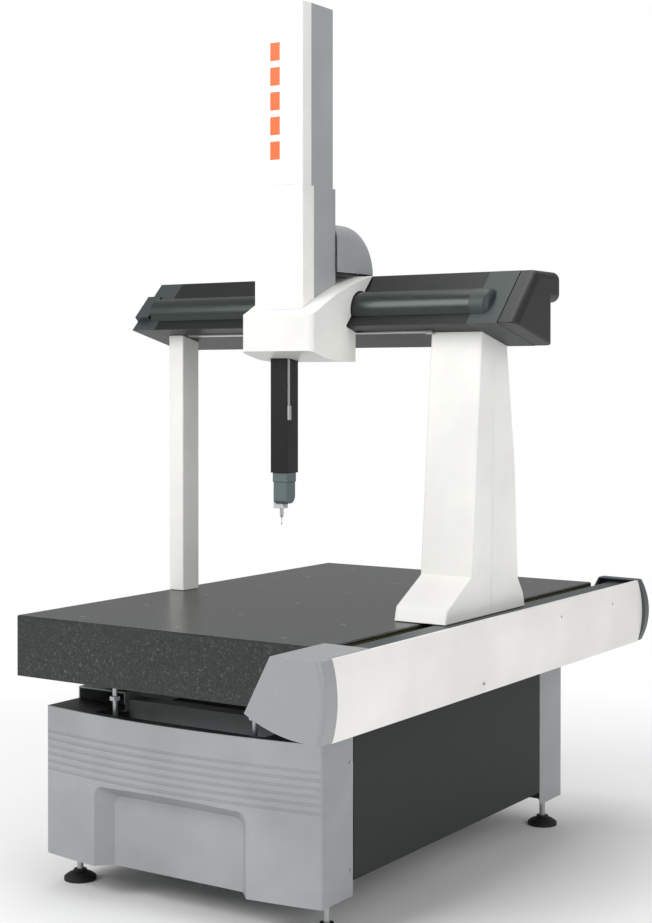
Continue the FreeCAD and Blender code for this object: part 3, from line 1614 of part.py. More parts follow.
def make_ram_drive():
    """The spine inside the tower with the ram's motor, pulleys, belt and counterbalance."""
    front = S.spine_front
    back = front + S.spine_thickness
    spine = new_body("ram_drive_spine", CARRIAGE)
    pad(spine, "XZ", front, S.spine_thickness,
        rectangle((-S.arm_left, S.arm_top), (S.spine_right, S.spine_top + S.spine_cap)))
    pad(spine, "XY", S.spine_top, S.spine_cap,
        rectangle((-S.clamp_half, -S.spine_cap_front), (S.clamp_half, front + 1)))
    x = S.z_pulley_across
    pocket(spine, "XZ", front - 2, S.spine_thickness + 4,
           circle((x, S.z_motor_height), S.axle_radius + 2))
    half = pulley_half()
    drive = motor("z_motor", CARRIAGE, (x, -half - 2, S.z_motor_height), S.z_motor_radius,
                  back + half + 2, "Y", True)
    wheels = [pulley(name, CARRIAGE, (x, -half, z), S.z_pulley_radius, "Y")
              for name, z in [("z_drive_pulley", S.z_motor_height),
                              ("z_idler_pulley", S.z_idler_height)]]
    pad(spine, "XZ", -half - 2, front + half + 3,
        circle((x, S.z_idler_height), S.axle_radius))
    loop = (S.z_motor_height, S.z_idler_height, x, True)
    band = belt("z_belt", CARRIAGE, "XZ", -S.belt_width / 2, loop, S.z_pulley_radius)
    piston = S.ram_bore - S.running_gap
    foot = S.spine_top - S.piston_drop
    thin = S.piston_rod_radius
    counter = turned("counterbalance_piston", plus(CARRIAGE, (0, 0, foot)),
                     [(0, 0), (piston, 0), (piston, S.piston_height), (thin, S.piston_height),
                      (thin, S.piston_drop), (0, S.piston_drop)])
    return [spine, drive] + wheels + [band, counter]


# ---------------------------------------------------------------- ram and probe head

def make_ram():
    """The square hollow ram, its scale, the scale's end block and the belt clamp."""
    half = S.ram_half
    ram = new_body("ram", RAM)
    pad(ram, "XY", 0, S.ram_length, rectangle((-half, -half), (half, half)))
    bevel_edges(ram, S.ram_edge, lambda p, e: runs_along(e, "z"))
    pocket(ram, "XY", S.ram_length - S.ram_bore_depth, S.ram_bore_depth + 2,
           circle((0, 0), S.ram_bore))
    front = -S.ram_scale_front
    scale = box("ram_scale_strip", RAM, (half, front, S.ram_scale_base),
                (half + 1.5, front + S.ram_scale_width, S.ram_scale_top))
    stop = box("ram_scale_anchor", RAM, (half, front - 1, S.ram_scale_base - S.ram_stop_height),
               (half + S.ram_stop_thickness, front + S.ram_scale_width + 1, S.ram_scale_base))
    belt_face = S.z_pulley_across - S.z_pulley_radius - S.running_gap - S.belt_thickness
    clamp_base = S.ram_length - S.ram_clamp_drop
    pad(ram, "XY", clamp_base, S.clamp_half, rectangle((half - 2, -10), (belt_face, 10)))
    return [ram, group("ram_scale", [scale, stop])]


def make_head():
    """The indexing head: fixed mount, turning turret, tilting knuckle, probe and stylus."""
    mount = new_body("head_mount", RAM)
    half = S.head_half
    drop = -S.head_mount_height
    pad(mount, "XY", drop, S.head_mount_height, rectangle((-half, -half), (half, half)))
    round_edges(mount, S.ram_edge, lambda p, e: runs_along(e, "z"))
    turret = new_body("head_turret", RAM)
    half = S.turret_half
    low = -S.turret_drop
    front_round = S.turret_front_round
    back_round = S.turret_back_round
    near = 1 - math.sqrt(0.5)
    pad(turret, "YZ", -half, half * 2,
        [(-half, drop), (-half, low + front_round),
         via((-half + front_round * near, low + front_round * near), (-half + front_round, low)),
         (half - back_round, low),
         via((half - back_round * near, low + back_round * near), (half, low + back_round)),
         (half, drop)])
    axis = -S.knuckle_axis_drop
    width = S.knuckle_half
    knuckle = new_body("head_knuckle", RAM)
    top_middle = (0, axis + S.knuckle_radius)
    pad(knuckle, "YZ", -half - S.knuckle_thickness, S.knuckle_thickness,
        [(-width, -S.knuckle_base), (width, -S.knuckle_base), (width, axis + 10),
         via(top_middle, (-width, axis + 10))])
    pad(knuckle, "YZ", -half - 1, S.knuckle_reach,
        rectangle((-width, -S.knuckle_base), (width, -S.knuckle_inner)))
    at = plus(RAM, (-S.probe_offset, 0, -S.knuckle_base - S.probe_length))
    radius = S.probe_radius
    probe = turned("probe_body", at,
                   [(0, 0), (radius * 0.6, 0), (radius, 3), (radius, S.probe_length),
                    (0, S.probe_length)])
    ball = S.stylus_radius * 1.6
    neck = ball * 1.7
    stylus = turned("stylus", plus(at, (0, 0, -S.stylus_length)),
                    [(0, 0), via((ball, ball), (S.stylus_radius * 0.5, neck + ball * 0.2)),
                     (S.stylus_radius * 0.5, S.stylus_length - 8),
                     (S.stylus_radius, S.stylus_length - 6), (S.stylus_radius, S.stylus_length),
                     (0, S.stylus_length)])
    return [mount, turret, knuckle, probe, stylus]


# ---------------------------------------------------------------- build and export

NODES = (
    make_footing() + [make_posts(), make_rails()] + [make_front_cover(), make_deck()]
    + make_panels() + [make_isolators()] + make_table() + make_housing()
    + make_side_cover() + make_caps() + make_table_drive()
    + make_beam() + [make_beam_cap()] + make_tube() + [make_beam_scale(), make_trough()]
    + make_beam_drive() + [make_left_column()] + make_leg()
    + make_guide() + [make_carriage_cover()]
    + make_tower() + [make_dome()] + make_ram_drive()
    + make_ram() + make_head()
)
DOC.recompute()


def check_model():
    """Stop if any object failed, any shape is empty or invalid, or a pocket cut nothing."""
    for item in DOC.Objects:
        if "Invalid" in item.State or "Error" in item.State:
            raise RuntimeError(f"{item.Label} did not rebuild")
        if item.TypeId == "PartDesign::Pocket":
            before = item.BaseFeature.Shape.Volume
            if item.Shape.Volume > before - 1:
                raise RuntimeError(f"{item.Label} cut nothing")
    for node in NODES:
        if node.Shape.isNull() or not node.Shape.isValid() or not node.Shape.Solids:
            raise RuntimeError(f"{node.Label} has no sound shape")


check_model()
os.makedirs("parts", exist_ok=True)
for node in NODES:
    node.Shape.exportStep(f"parts/{node.Label}.step")
    print(node.Label, len(node.Shape.Solids), round(node.Shape.Volume / 1000))
print(len(NODES), "nodes")
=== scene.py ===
"""Looks of a moving-bridge coordinate measuring machine, dressed over its solids."""

import json
import logging
import math
from dataclasses import dataclass
from enum import Enum

import bmesh
import bpy
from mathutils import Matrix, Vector


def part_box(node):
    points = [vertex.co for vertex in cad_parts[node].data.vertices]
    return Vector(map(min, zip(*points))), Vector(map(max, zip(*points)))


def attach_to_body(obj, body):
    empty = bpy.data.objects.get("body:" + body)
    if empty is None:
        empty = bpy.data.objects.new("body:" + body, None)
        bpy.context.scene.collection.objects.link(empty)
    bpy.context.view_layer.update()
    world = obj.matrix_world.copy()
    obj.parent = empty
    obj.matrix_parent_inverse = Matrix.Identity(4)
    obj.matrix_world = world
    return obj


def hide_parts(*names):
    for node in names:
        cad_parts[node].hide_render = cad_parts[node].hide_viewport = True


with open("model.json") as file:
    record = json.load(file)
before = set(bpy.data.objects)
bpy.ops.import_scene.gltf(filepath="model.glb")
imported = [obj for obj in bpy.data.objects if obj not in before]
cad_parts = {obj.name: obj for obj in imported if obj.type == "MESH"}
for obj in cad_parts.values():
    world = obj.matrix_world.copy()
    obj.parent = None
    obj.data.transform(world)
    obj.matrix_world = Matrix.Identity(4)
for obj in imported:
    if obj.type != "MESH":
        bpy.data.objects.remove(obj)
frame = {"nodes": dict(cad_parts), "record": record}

LOG = logging.getLogger("measuring_machine")
MM = 0.001
WELD = 1e-6
FLAT_DEGREES = 0.6
SMOOTH_DEGREES = 32.0
EDGE_DEGREES = 40.0
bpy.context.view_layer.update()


# ---------------------------------------------------------------- finishes


def linear(colour: str) -> tuple[float, float, float, float]:
    """Turn an sRGB hex colour into linear values.

    Args:
        colour: six hex digits.

    Returns:
        Red, green, blue and an alpha of one.
    """
    parts = [int(colour[i : i + 2], 16) / 255 for i in (0, 2, 4)]
    light = [c / 12.92 if c <= 0.04045 else ((c + 0.055) / 1.055) ** 2.4 for c in parts]
    return (light[0], light[1], light[2], 1.0)


def add_node(tree: bpy.types.NodeTree, kind: str, links: dict | None = None, **settings):
    """Add a node to a material with its settings and its incoming links.

    Args:
        tree: the material's node tree.
        kind: the node's type name.
        links: input name or number to the output socket that feeds it.
        settings: attributes of the node, or values of its inputs under in_NAME.

    Returns:
        The new node.
    """
    node = tree.nodes.new(kind)
    for name, value in settings.items():
        if name.startswith("in_"):
            node.inputs[name[3:].replace("_", " ")].default_value = value
        else:
            setattr(node, name, value)
    for name, source in (links or {}).items():
        tree.links.new(source, node.inputs[name])
    return node


def ramp(tree: bpy.types.NodeTree, factor, stops: list[tuple[float, str]]):
    """A colour ramp between hex colours.

    Args:
        tree: the material's node tree.
        factor: the socket that drives the ramp.
        stops: places from 0 to 1 with their colours.

    Returns:
        The ramp's colour output.
    """
    node = add_node(tree, "ShaderNodeValToRGB", {"Fac": factor})
    bar = node.color_ramp
    while len(bar.elements) < len(stops):
        bar.elements.new(0.5)
    for element, (place, colour) in zip(bar.elements, stops):
        element.position = place
        element.color = linear(colour)
    return node.outputs["Color"]


def shade(colour: str, factor: float) -> str:
    """A hex colour made lighter or darker.

    Args:
        colour: six hex digits.
        factor: what each value is multiplied by.

    Returns:
        The new colour as six hex digits.
    """
    values = [min(255, int(int(colour[i : i + 2], 16) * factor)) for i in (0, 2, 4)]
    return "".join(f"{v:02X}" for v in values)


@dataclass(frozen=True)
class Finish:
    """A surface made of one real material."""

    name: str
    colour: str
    roughness: float = 0.5
    metallic: float = 0.0

    def start(self) -> tuple[bpy.types.Material, bpy.types.NodeTree, bpy.types.Node, bpy.types.Node]:
        """Make the plain material, its shader and its object coordinates.

        Returns:
            The material, its node tree, its shader and the coordinate node.
        """
        material = bpy.data.materials.new(self.name)
        material.use_nodes = True
        tree = material.node_tree
        shader = tree.nodes["Principled BSDF"]
        shader.inputs["Base Color"].default_value = linear(self.colour)
        shader.inputs["Roughness"].default_value = self.roughness
        shader.inputs["Metallic"].default_value = self.metallic
        place = add_node(tree, "ShaderNodeTexCoord")
        return material, tree, shader, place

    def build(self) -> bpy.types.Material:
        """Build the material."""
        raise NotImplementedError

    def bump(self, tree, shader, height, strength: float, depth_mm: float) -> None:
        """Feed a height into the shader's normal.

        Args:
            tree: the material's node tree.
            shader: the principled shader.
            height: the socket with the height pattern.
            strength: how strongly it shows.
            depth_mm: the real depth of the pattern.
        """
        node = add_node(tree, "ShaderNodeBump", {"Height": height}, in_Strength=strength,
                        in_Distance=depth_mm * MM)
        tree.links.new(node.outputs["Normal"], shader.inputs["Normal"])


@dataclass(frozen=True)
class PowderCoat(Finish):
    """Baked powder paint on sheet or casting: even colour with a fine orange peel."""

    peel_mm: float = 2.4
    peel_depth_mm: float = 0.03
    cloud: float = 0.03
    coat: float = 0.0

    def build(self) -> bpy.types.Material:
        """Build the material: the peel breaks up highlights, the cloud keeps flat areas alive."""
        material, tree, shader, place = self.start()
        where = place.outputs["Object"]
        cloud = add_node(tree, "ShaderNodeTexNoise", {"Vector": where}, in_Scale=3.5, in_Detail=3.0)
        tint = ramp(tree, cloud.outputs["Fac"], [
            (0.3, shade(self.colour, 1 - self.cloud)), (0.7, shade(self.colour, 1 + self.cloud))])
        tree.links.new(tint, shader.inputs["Base Color"])
        peel = add_node(tree, "ShaderNodeTexNoise", {"Vector": where},
                        in_Scale=1 / (self.peel_mm * MM), in_Detail=2.0)
        dull = add_node(tree, "ShaderNodeMapRange", {"Value": peel.outputs["Fac"]},
                        in_To_Min=self.roughness - 0.05, in_To_Max=self.roughness + 0.05)
        tree.links.new(dull.outputs["Result"], shader.inputs["Roughness"])
        shader.inputs["Coat Weight"].default_value = self.coat
        shader.inputs["Coat Roughness"].default_value = 0.15
        self.bump(tree, shader, peel.outputs["Fac"], 0.35, self.peel_depth_mm)
        return material


@dataclass(frozen=True)
class Granite(Finish):
    """Fine black-green granite: pale and dark crystals in a dark ground."""

    crystal_mm: float = 5.0
    pale: str = "5F6A62"
    depth_mm: float = 0.2

    def build(self) -> bpy.types.Material:
        """Build the material: crystals drawn a little coarser than life so that they show."""
        material, tree, shader, place = self.start()
        where = place.outputs["Object"]
        grain = add_node(tree, "ShaderNodeTexVoronoi", {"Vector": where},
                         in_Scale=1 / (self.crystal_mm * MM))
        fleck = add_node(tree, "ShaderNodeTexNoise", {"Vector": where},
                         in_Scale=1 / (self.crystal_mm * 1.3 * MM), in_Detail=4.0, in_Roughness=0.7)
        cloud = add_node(tree, "ShaderNodeTexNoise", {"Vector": where}, in_Scale=6.0, in_Detail=4.0)
        dark = ramp(tree, grain.outputs["Color"], [
            (0.2, shade(self.colour, 0.7)), (0.6, self.colour), (0.95, shade(self.colour, 1.35))])
        spots = add_node(tree, "ShaderNodeMapRange", {"Value": fleck.outputs["Fac"]},
                         in_From_Min=0.57, in_From_Max=0.66)
        field = add_node(tree, "ShaderNodeMapRange", {"Value": cloud.outputs["Fac"]},
                         in_From_Min=0.35, in_From_Max=0.7, in_To_Min=0.35, in_To_Max=1.0)
        amount = add_node(tree, "ShaderNodeMath", {0: spots.outputs["Result"],
                          1: field.outputs["Result"]}, operation="MULTIPLY")
        mix = add_node(tree, "ShaderNodeMix", {"Factor": amount.outputs[0]}, data_type="RGBA")
        tree.links.new(dark, mix.inputs[6])
        mix.inputs[7].default_value = linear(self.pale)
        tree.links.new(mix.outputs[2], shader.inputs["Base Color"])
        self.bump(tree, shader, fleck.outputs["Fac"], 0.3, self.depth_mm)
        return material


@dataclass(frozen=True)
class DrawnAluminium(Finish):
    """Extruded and anodised aluminium: faint drawing lines along one axis."""

    line_mm: float = 1.6
    stretch: tuple[float, float, float] = (0.02, 1.0, 1.0)
    contrast: float = 0.06

    def build(self) -> bpy.types.Material:
        """Build the material: the lines pull highlights out along the profile."""
        material, tree, shader, place = self.start()
        pull = add_node(tree, "ShaderNodeMapping", {"Vector": place.outputs["Object"]},
                        in_Scale=self.stretch)
        lines = add_node(tree, "ShaderNodeTexNoise", {"Vector": pull.outputs["Vector"]},
                         in_Scale=1 / (self.line_mm * MM), in_Detail=3.0)
        tint = ramp(tree, lines.outputs["Fac"], [
            (0.3, shade(self.colour, 1 - self.contrast)), (0.7, shade(self.colour, 1 + self.contrast))])
        tree.links.new(tint, shader.inputs["Base Color"])
        dull = add_node(tree, "ShaderNodeMapRange", {"Value": lines.outputs["Fac"]},
                        in_To_Min=self.roughness - 0.07, in_To_Max=self.roughness + 0.07)
        tree.links.new(dull.outputs["Result"], shader.inputs["Roughness"])
        self.bump(tree, shader, lines.outputs["Fac"], 0.2, 0.02)
        return material


@dataclass(frozen=True)
class MachinedSteel(Finish):
    """Turned or ground metal with fine tool marks."""

    mark_mm: float = 0.8

    def build(self) -> bpy.types.Material:
        """Build the material: small marks keep the metal from looking like a mirror."""
        material, tree, shader, place = self.start()
        marks = add_node(tree, "ShaderNodeTexNoise", {"Vector": place.outputs["Object"]},
                         in_Scale=1 / (self.mark_mm * MM), in_Detail=3.0)
        tint = ramp(tree, marks.outputs["Fac"], [
            (0.35, shade(self.colour, 0.93)), (0.65, shade(self.colour, 1.05))])
        tree.links.new(tint, shader.inputs["Base Color"])
        self.bump(tree, shader, marks.outputs["Fac"], 0.15, 0.02)
        return material


@dataclass(frozen=True)
class Moulding(Finish):
    """Moulded plastic with a spark-eroded grain."""

    grain_mm: float = 1.2
    grain_depth_mm: float = 0.04

    def build(self) -> bpy.types.Material:
        """Build the material: the grain spreads the highlight and gives it a sparkle."""
        material, tree, shader, place = self.start()
        grain = add_node(tree, "ShaderNodeTexNoise", {"Vector": place.outputs["Object"]},
                         in_Scale=1 / (self.grain_mm * MM), in_Detail=2.0)
        tint = ramp(tree, grain.outputs["Fac"], [
            (0.3, shade(self.colour, 0.95)), (0.7, shade(self.colour, 1.05))])
        tree.links.new(tint, shader.inputs["Base Color"])
        self.bump(tree, shader, grain.outputs["Fac"], 0.4, self.grain_depth_mm)
        return material


class Look(Enum):
    """The finishes of the machine."""

    WHITE = PowderCoat("white_powder_coat", "EDECE8", 0.38, coat=0.25)
    COVER_WHITE = PowderCoat("white_side_cover_coat", "E9E7E3", 0.42, coat=0.15)
    SILVER = PowderCoat("silver_metallic_coat", "9DA0A2", 0.45, 0.3, cloud=0.05)
    SILVER_SIDE = PowderCoat("silver_grey_coat", "A6AAAC", 0.45, 0.25, cloud=0.04)
    DARK_PANEL = PowderCoat("dark_textured_coat", "161E1A", 0.62, peel_mm=3.0, peel_depth_mm=0.12)
    # Black paint: the motors' own colour, but on the stand's frame posts and front deck plate it is
    # painted shade for the dark, shadowed cabinet top under the granite.
    BLACK_COAT_AND_PAINTED_SHADE = PowderCoat("black_coat_and_painted_shade", "17191A", 0.5)
    GRANITE = Granite("lapped_granite", "1D2420", 0.3)
    BEAM = DrawnAluminium("dark_anodised_aluminium", "121614", 0.45, 0.3)
    TUBE = DrawnAluminium("grey_anodised_aluminium", "343B39", 0.3, 0.5)
    HOUSING = DrawnAluminium("slate_anodised_aluminium", "3F4C4F", 0.4, 0.6, stretch=(1.0, 0.02, 1.0))
    PALE_METAL = DrawnAluminium("clear_anodised_aluminium", "B9BDBF", 0.35, 0.85)
    END_COVER = Moulding("slate_moulding", "2F3837", 0.5)
    BLACK_MOULD = Moulding("black_moulding", "141616", 0.45)
    CAP = Moulding("silver_moulding", "96989B", 0.34)
    REAR_CAP = Moulding("dark_grey_moulding", "474F51", 0.45)
    RAM = DrawnAluminium("black_hard_anodised_aluminium", "0D0F0E", 0.38, 0.3, stretch=(1.0, 1.0, 0.02))
    SCALE = MachinedSteel("steel_scale_tape", "B9BBBA", 0.35, 0.9)
    STEEL = MachinedSteel("zinc_plated_steel", "B4B6B8", 0.32, 0.9)
    BRASS = MachinedSteel("turned_brass", "C8A44B", 0.3, 0.95)
    HEAD = Moulding("grey_anodised_head", "5E6B6D", 0.4)
    KNUCKLE = Moulding("pale_grey_knuckle", "C9CBCB", 0.45)
    RUBBER = Moulding("black_rubber", "111212", 0.7)
    ORANGE = PowderCoat("orange_screen_ink", "E8651E", 0.45, cloud=0.01)


_MADE: dict[Look, bpy.types.Material] = {}


def material_of(look: Look) -> bpy.types.Material:
    """The material of a finish, made once.

    Args:
        look: the finish.

    Returns:
        The material.
    """
    if look not in _MADE:
        _MADE[look] = look.value.build()
    return _MADE[look]


# ---------------------------------------------------------------- mesh tools


def paint(item: bpy.types.Object, look: Look) -> bpy.types.Object:
    """Give an object one finish all over.

    Args:
        item: the object.
        look: the finish.

    Returns:
        The same object.
    """
    item.data.materials.clear()
    item.data.materials.append(material_of(look))
    return item


def smooth(mesh: bpy.types.Mesh, degrees: float = SMOOTH_DEGREES) -> None:
    """Shade a mesh smooth but keep edges sharper than an angle."""
    mesh.polygons.foreach_set("use_smooth", [True] * len(mesh.polygons))
    mesh.set_sharp_from_angle(angle=math.radians(degrees))


def settle(item: bpy.types.Object) -> None:
    """Apply an object's modifiers to its mesh."""
    graph = bpy.context.evaluated_depsgraph_get()
    done = bpy.data.meshes.new_from_object(item.evaluated_get(graph))
    item.modifiers.clear()
    item.data = done


def new_object(name: str, mesh: bpy.types.Mesh) -> bpy.types.Object:
    """Link a mesh to the scene as an object."""
    item = bpy.data.objects.new(name, mesh)
    bpy.context.scene.collection.objects.link(item)
    return item


def softened(node: str, radius_mm: float, look: Look, segments: int = 3,
             angle: float = 28.0) -> bpy.types.Object:
    """A copy of a CAD node with its sharp edges rounded, which then stands for it.

    Args:
        node: the CAD node's name.
        radius_mm: the edge radius.
        look: the finish.
        segments: how many strips the rounding has.
        angle: the least angle in degrees of an edge that is rounded.

    Returns:
        The new piece.
    """
    source = frame["nodes"][node]
    mesh = source.data.copy()
    mesh.name = node + "_dressed"
    work = bmesh.new()
    work.from_mesh(mesh)
    bmesh.ops.remove_doubles(work, verts=work.verts, dist=WELD)
    bmesh.ops.dissolve_limit(work, angle_limit=math.radians(FLAT_DEGREES), verts=work.verts,
                             edges=work.edges)
    work.to_mesh(mesh)
    work.free()
    smooth(mesh, EDGE_DEGREES)
    item = new_object(node + "_dressed", mesh)
    rounding = item.modifiers.new("edge", "BEVEL")
    rounding.width = radius_mm * MM
    rounding.segments = segments
    rounding.limit_method = "ANGLE"
    rounding.angle_limit = math.radians(angle)
    rounding.use_clamp_overlap = True
    rounding.miter_outer = "MITER_ARC"
    rounding.harden_normals = True
    even = item.modifiers.new("normals", "WEIGHTED_NORMAL")
    even.keep_sharp = True
    settle(item)
    paint(item, look)
    body = next(name for name, members in frame["record"]["behaviour"]["bodies"].items()
                if node in members)
    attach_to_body(item, body)
    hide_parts(node)
    LOG.info("dressed %s", node)
    return item


def dress(node: str, look: Look, degrees: float = SMOOTH_DEGREES) -> None:
    """Give a CAD node its finish and smooth shading."""
    item = frame["nodes"][node]
    paint(item, look)
    smooth(item.data, degrees)
    LOG.info("painted %s", node)


def attach(item: bpy.types.Object, body: str, look: Look) -> bpy.types.Object:
    """Finish a new piece: paint it and let it ride on a body."""
    paint(item, look)
    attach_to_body(item, body)
    LOG.info("added %s", item.name)
    return item


def plate(name: str, corners: list[Vector], thickness: float) -> bpy.types.Object:
    """A thin plate from the corners of its face, with eased edges.

    Args:
        name: the piece's name.
        corners: the face's corners, counter-clockwise from outside.
        thickness: how far it stands out, in metres.

    Returns:
        The new object.
    """
    work = bmesh.new()
    face = work.faces.new([work.verts.new(c) for c in corners])
    face.normal_update()
    normal = face.normal.copy()
    grown = bmesh.ops.extrude_face_region(work, geom=[face])
    lifted = [v for v in grown["geom"] if isinstance(v, bmesh.types.BMVert)]
    bmesh.ops.translate(work, verts=lifted, vec=normal * thickness)
    bmesh.ops.recalc_face_normals(work, faces=work.faces)
    top = [e for e in work.edges if all(v in lifted for v in e.verts)]
    bmesh.ops.bevel(work, geom=top, offset=thickness * 0.4, segments=2, affect="EDGES")
    mesh = bpy.data.meshes.new(name)
    work.to_mesh(mesh)
    work.free()
    smooth(mesh)
    return new_object(name, mesh)


# ---------------------------------------------------------------- sub-assemblies


@dataclass
class Stand:
    """The steel stand, its covers and feet."""

    edge_mm: float = 2.5

    def build(self) -> None:
        """Dress the stand."""
        softened("front_cover", self.edge_mm, Look.SILVER)
        softened("rear_cover", 1.2, Look.SILVER)
        dress("side_covers", Look.DARK_PANEL)
        # The frame posts and the front deck plate get the black coat as painted shade: the cabinet top
        # under the granite only looks black because it lies in shadow.
        dress("frame_posts", Look.BLACK_COAT_AND_PAINTED_SHADE)
        dress("frame_rails", Look.SILVER_SIDE)
        dress("front_deck_plate", Look.BLACK_COAT_AND_PAINTED_SHADE)
        dress("foot_pads", Look.RUBBER)
        dress("threaded_studs", Look.STEEL)
        dress("lock_nuts", Look.STEEL)
        dress("isolators", Look.RUBBER)
        dress("cover_screws", Look.STEEL)


@dataclass
class Table:
    """The granite slab with its inserts and the scale on its flank."""

    def build(self) -> None:
        """Dress the slab."""
        softened("granite_table", 2.0, Look.GRANITE)
        dress("thread_inserts", Look.STEEL)
        dress("y_scale", Look.BRASS)


@dataclass
class TableDrive:
    """The drive channel beside the table, its long cover and its end caps."""

    def build(self) -> None:
        """Dress the drive."""
        dress("drive_housing", Look.HOUSING)
        softened("side_cover", 1.5, Look.COVER_WHITE)
        softened("side_front_cap", 4.0, Look.CAP)
        softened("side_rear_cap", 4.0, Look.REAR_CAP)
        for node, look in [("y_motor_bracket", Look.STEEL), ("y_motor", Look.BLACK_COAT_AND_PAINTED_SHADE),
                           ("y_drive_pulley", Look.PALE_METAL),
                           ("y_idler_pulley", Look.PALE_METAL), ("y_belt", Look.RUBBER)]:
            dress(node, look)


@dataclass
class Bridge:
    """The beam, its legs and its covers."""

    def build(self) -> None:
        """Dress the bridge."""
        softened("beam_body", 2.0, Look.BEAM)
        softened("beam_end_cover_left", 2.0, Look.END_COVER)
        softened("beam_end_cover_right", 2.0, Look.END_COVER)
        softened("beam_end_cap", 4.0, Look.BLACK_MOULD)
        dress("tube_cover", Look.TUBE)
        softened("tube_cover_ends", 2.5, Look.END_COVER)
        dress("x_scale", Look.SCALE)
        dress("rear_trough", Look.BEAM)
        softened("left_column", 1.5, Look.WHITE)
        softened("leg_front_cover", 3.0, Look.WHITE)
        softened("leg_rear_cover", 3.0, Look.WHITE)
        for node, look in [("x_motor", Look.BLACK_COAT_AND_PAINTED_SHADE), ("x_drive_pulley", Look.PALE_METAL),
                           ("x_idler_pulley", Look.PALE_METAL), ("x_belt", Look.RUBBER),
                           ("right_leg", Look.PALE_METAL), ("bridge_air_pads", Look.STEEL)]:
            dress(node, look)


@dataclass
class Carriage:
    """The carriage with its nose, tower and dome."""

    blocks: int = 5
    block_width: float = 0.036
    block_height: float = 0.056
    block_step: float = 0.076
    mark_drop: float = 0.12
    mark_share: float = 0.36

    def mark(self) -> None:
        """Print a plain row of orange blocks down the tower's front."""
        low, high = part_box("tower_front_cover")
        middle = low.x + (high.x - low.x) * self.mark_share
        left, right = middle - self.block_width / 2, middle + self.block_width / 2
        face = low.y + 0.0001
        for number in range(self.blocks):
            top = high.z - self.mark_drop - self.block_step * number
            foot = top - self.block_height
            corners = [Vector(c) for c in ((left, face, foot), (right, face, foot),
                                           (right, face, top), (left, face, top))]
            attach(plate(f"tower_mark_{number + 1}", corners, 0.0005), "carriage",
                   Look.ORANGE)

    def build(self) -> None:
        """Dress the carriage."""
        softened("carriage_cover", 8.0, Look.WHITE, segments=4)
        softened("tower_front_cover", 3.0, Look.WHITE)
        softened("tower_base_front_cover", 3.0, Look.WHITE)
        softened("tower_rear_cover", 3.0, Look.SILVER_SIDE)
        softened("dome_cover", 2.0, Look.SILVER_SIDE)
        self.mark()
        for node, look in [("carriage_frame", Look.PALE_METAL), ("carriage_air_pads", Look.STEEL),
                           ("ram_drive_spine", Look.PALE_METAL), ("z_motor", Look.BLACK_COAT_AND_PAINTED_SHADE),
                           ("z_drive_pulley", Look.PALE_METAL),
                           ("z_idler_pulley", Look.PALE_METAL), ("z_belt", Look.RUBBER),
                           ("counterbalance_piston", Look.STEEL)]:
            dress(node, look)


@dataclass
class Ram:
    """The ram with its scale and the indexing probe head."""

    def build(self) -> None:
        """Dress the ram and the head."""
        softened("ram", 1.0, Look.RAM)
        dress("ram_scale", Look.SCALE)
        softened("head_mount", 1.5, Look.HEAD)
        softened("head_turret", 2.5, Look.HEAD)
        softened("head_knuckle", 2.0, Look.KNUCKLE)
        dress("probe_body", Look.STEEL)
        dress("stylus", Look.STEEL)


# ---------------------------------------------------------------- studio


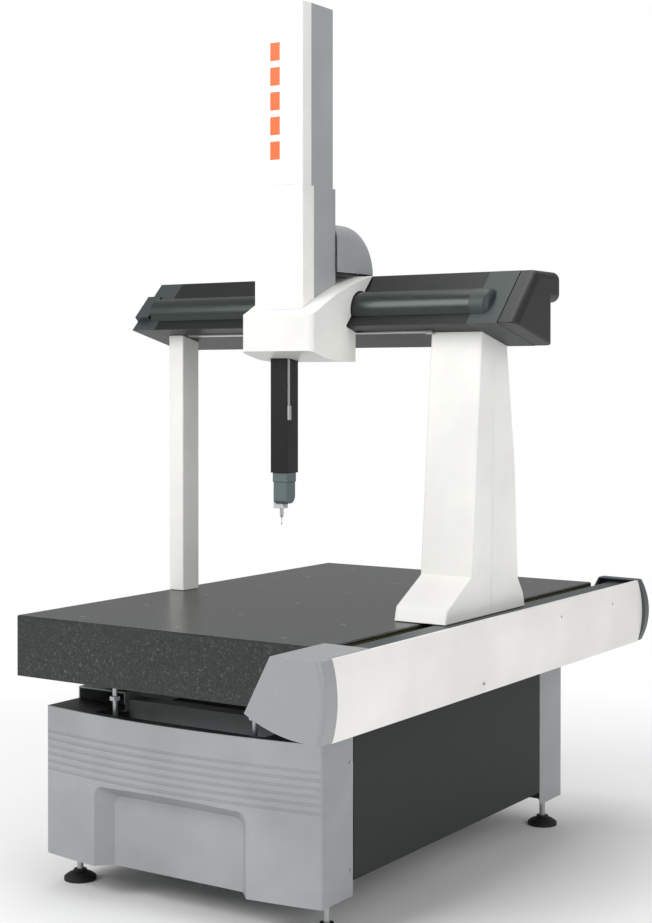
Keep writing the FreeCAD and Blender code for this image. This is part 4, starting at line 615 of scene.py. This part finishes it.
@dataclass
class Studio:
    """Floor, light and camera."""

    eye: tuple[float, float, float] = (2.8977, -4.4487, 1.5439)
    azimuth: float = 33.812
    pitch: float = -0.544
    lens_mm: float = 64.43
    shift: tuple[float, float] = (0.0188, -0.0720)

    def floor(self) -> None:
        """Lay a plain pale floor that looks white to the camera."""
        mesh = bpy.data.meshes.new("floor")
        reach = 30.0
        mesh.from_pydata([(-reach, -reach, 0), (reach, -reach, 0), (reach, reach, 0),
                          (-reach, reach, 0)], [], [(0, 1, 2, 3)])
        item = new_object("floor", mesh)
        item.location.z = -0.0005
        material = bpy.data.materials.new("pale_studio_floor")
        material.use_nodes = True
        shader = material.node_tree.nodes["Principled BSDF"]
        shader.inputs["Base Color"].default_value = linear("F4F4F4")
        shader.inputs["Roughness"].default_value = 0.9
        self.fade(material.node_tree, shader)
        mesh.materials.append(material)

    def fade(self, tree: bpy.types.NodeTree, shader: bpy.types.Node) -> None:
        """Let the floor turn plain white away from the machine and keep its shadow near it."""
        place = add_node(tree, "ShaderNodeTexCoord")
        away = add_node(tree, "ShaderNodeVectorMath", {0: place.outputs["Object"]},
                        operation="LENGTH")
        far = add_node(tree, "ShaderNodeMapRange", {"Value": away.outputs["Value"]},
                       in_From_Min=1.2, in_From_Max=3.2)
        path = add_node(tree, "ShaderNodeLightPath")
        seen = add_node(tree, "ShaderNodeMath", {0: path.outputs["Is Camera Ray"],
                        1: path.outputs["Is Glossy Ray"]}, operation="MAXIMUM")
        share = add_node(tree, "ShaderNodeMath", {0: far.outputs["Result"],
                         1: seen.outputs[0]}, operation="MULTIPLY")
        white = add_node(tree, "ShaderNodeEmission", in_Strength=1.0)
        mix = add_node(tree, "ShaderNodeMixShader", {0: share.outputs[0],
                       1: shader.outputs[0], 2: white.outputs[0]})
        tree.links.new(mix.outputs[0], tree.nodes["Material Output"].inputs["Surface"])

    def world(self) -> None:
        """Fill the room with plain soft light, white to the camera and to reflections."""
        world = bpy.data.worlds.new("studio")
        bpy.context.scene.world = world
        world.use_nodes = True
        tree = world.node_tree
        tree.nodes.clear()
        path = add_node(tree, "ShaderNodeLightPath")
        seen = add_node(tree, "ShaderNodeMath", {0: path.outputs["Is Camera Ray"],
                        1: path.outputs["Is Transmission Ray"]}, operation="MAXIMUM")
        strength = add_node(tree, "ShaderNodeMapRange", {"Value": seen.outputs[0]},
                            in_To_Min=0.45, in_To_Max=1.0)
        back = add_node(tree, "ShaderNodeBackground", {"Strength": strength.outputs["Result"]})
        back.inputs["Color"].default_value = (1, 1, 1, 1)
        add_node(tree, "ShaderNodeOutputWorld", {"Surface": back.outputs[0]})

    def lamp(self, name: str, place: tuple[float, float, float], size: float,
             watts: float) -> None:
        """Hang a soft lamp that shines at the machine's middle."""
        light = bpy.data.lights.new(name, "AREA")
        light.shape = "SQUARE"
        light.size = size
        light.energy = watts
        item = bpy.data.objects.new(name, light)
        bpy.context.scene.collection.objects.link(item)
        item.location = place
        aim = Vector((0, 0, 1.2)) - Vector(place)
        item.rotation_euler = aim.to_track_quat("-Z", "Y").to_euler()

    def camera(self) -> None:
        """Set up the camera."""
        data = bpy.data.cameras.new("camera")
        data.lens = self.lens_mm
        data.sensor_width = 36
        data.shift_x, data.shift_y = self.shift
        data.clip_end = 200
        item = bpy.data.objects.new("camera", data)
        bpy.context.scene.collection.objects.link(item)
        turn = math.radians(self.azimuth)
        tilt = math.radians(self.pitch)
        aim = Vector((-math.sin(turn) * math.cos(tilt), math.cos(turn) * math.cos(tilt),
                      math.sin(tilt)))
        item.location = self.eye
        item.rotation_euler = aim.to_track_quat("-Z", "Y").to_euler()
        bpy.context.scene.camera = item

    def build(self) -> None:
        """Set up the whole studio."""
        bpy.context.scene.view_settings.view_transform = "Standard"
        self.camera()
        self.floor()
        self.world()
        self.lamp("key", (-2.5, -6.0, 5.0), 4.0, 330)
        self.lamp("fill", (6.0, -1.5, 3.0), 4.0, 120)
        self.lamp("top", (0.0, 0.5, 6.5), 4.0, 160)


def main() -> None:
    """Build every sub-assembly in order."""
    logging.basicConfig(level=logging.INFO, format="%(message)s")
    for part in (Studio(), Stand(), Table(), TableDrive(), Bridge(), Carriage(), Ram()):
        part.build()
        LOG.info("finished %s", type(part).__name__)


if __name__ == "__main__":
    main()
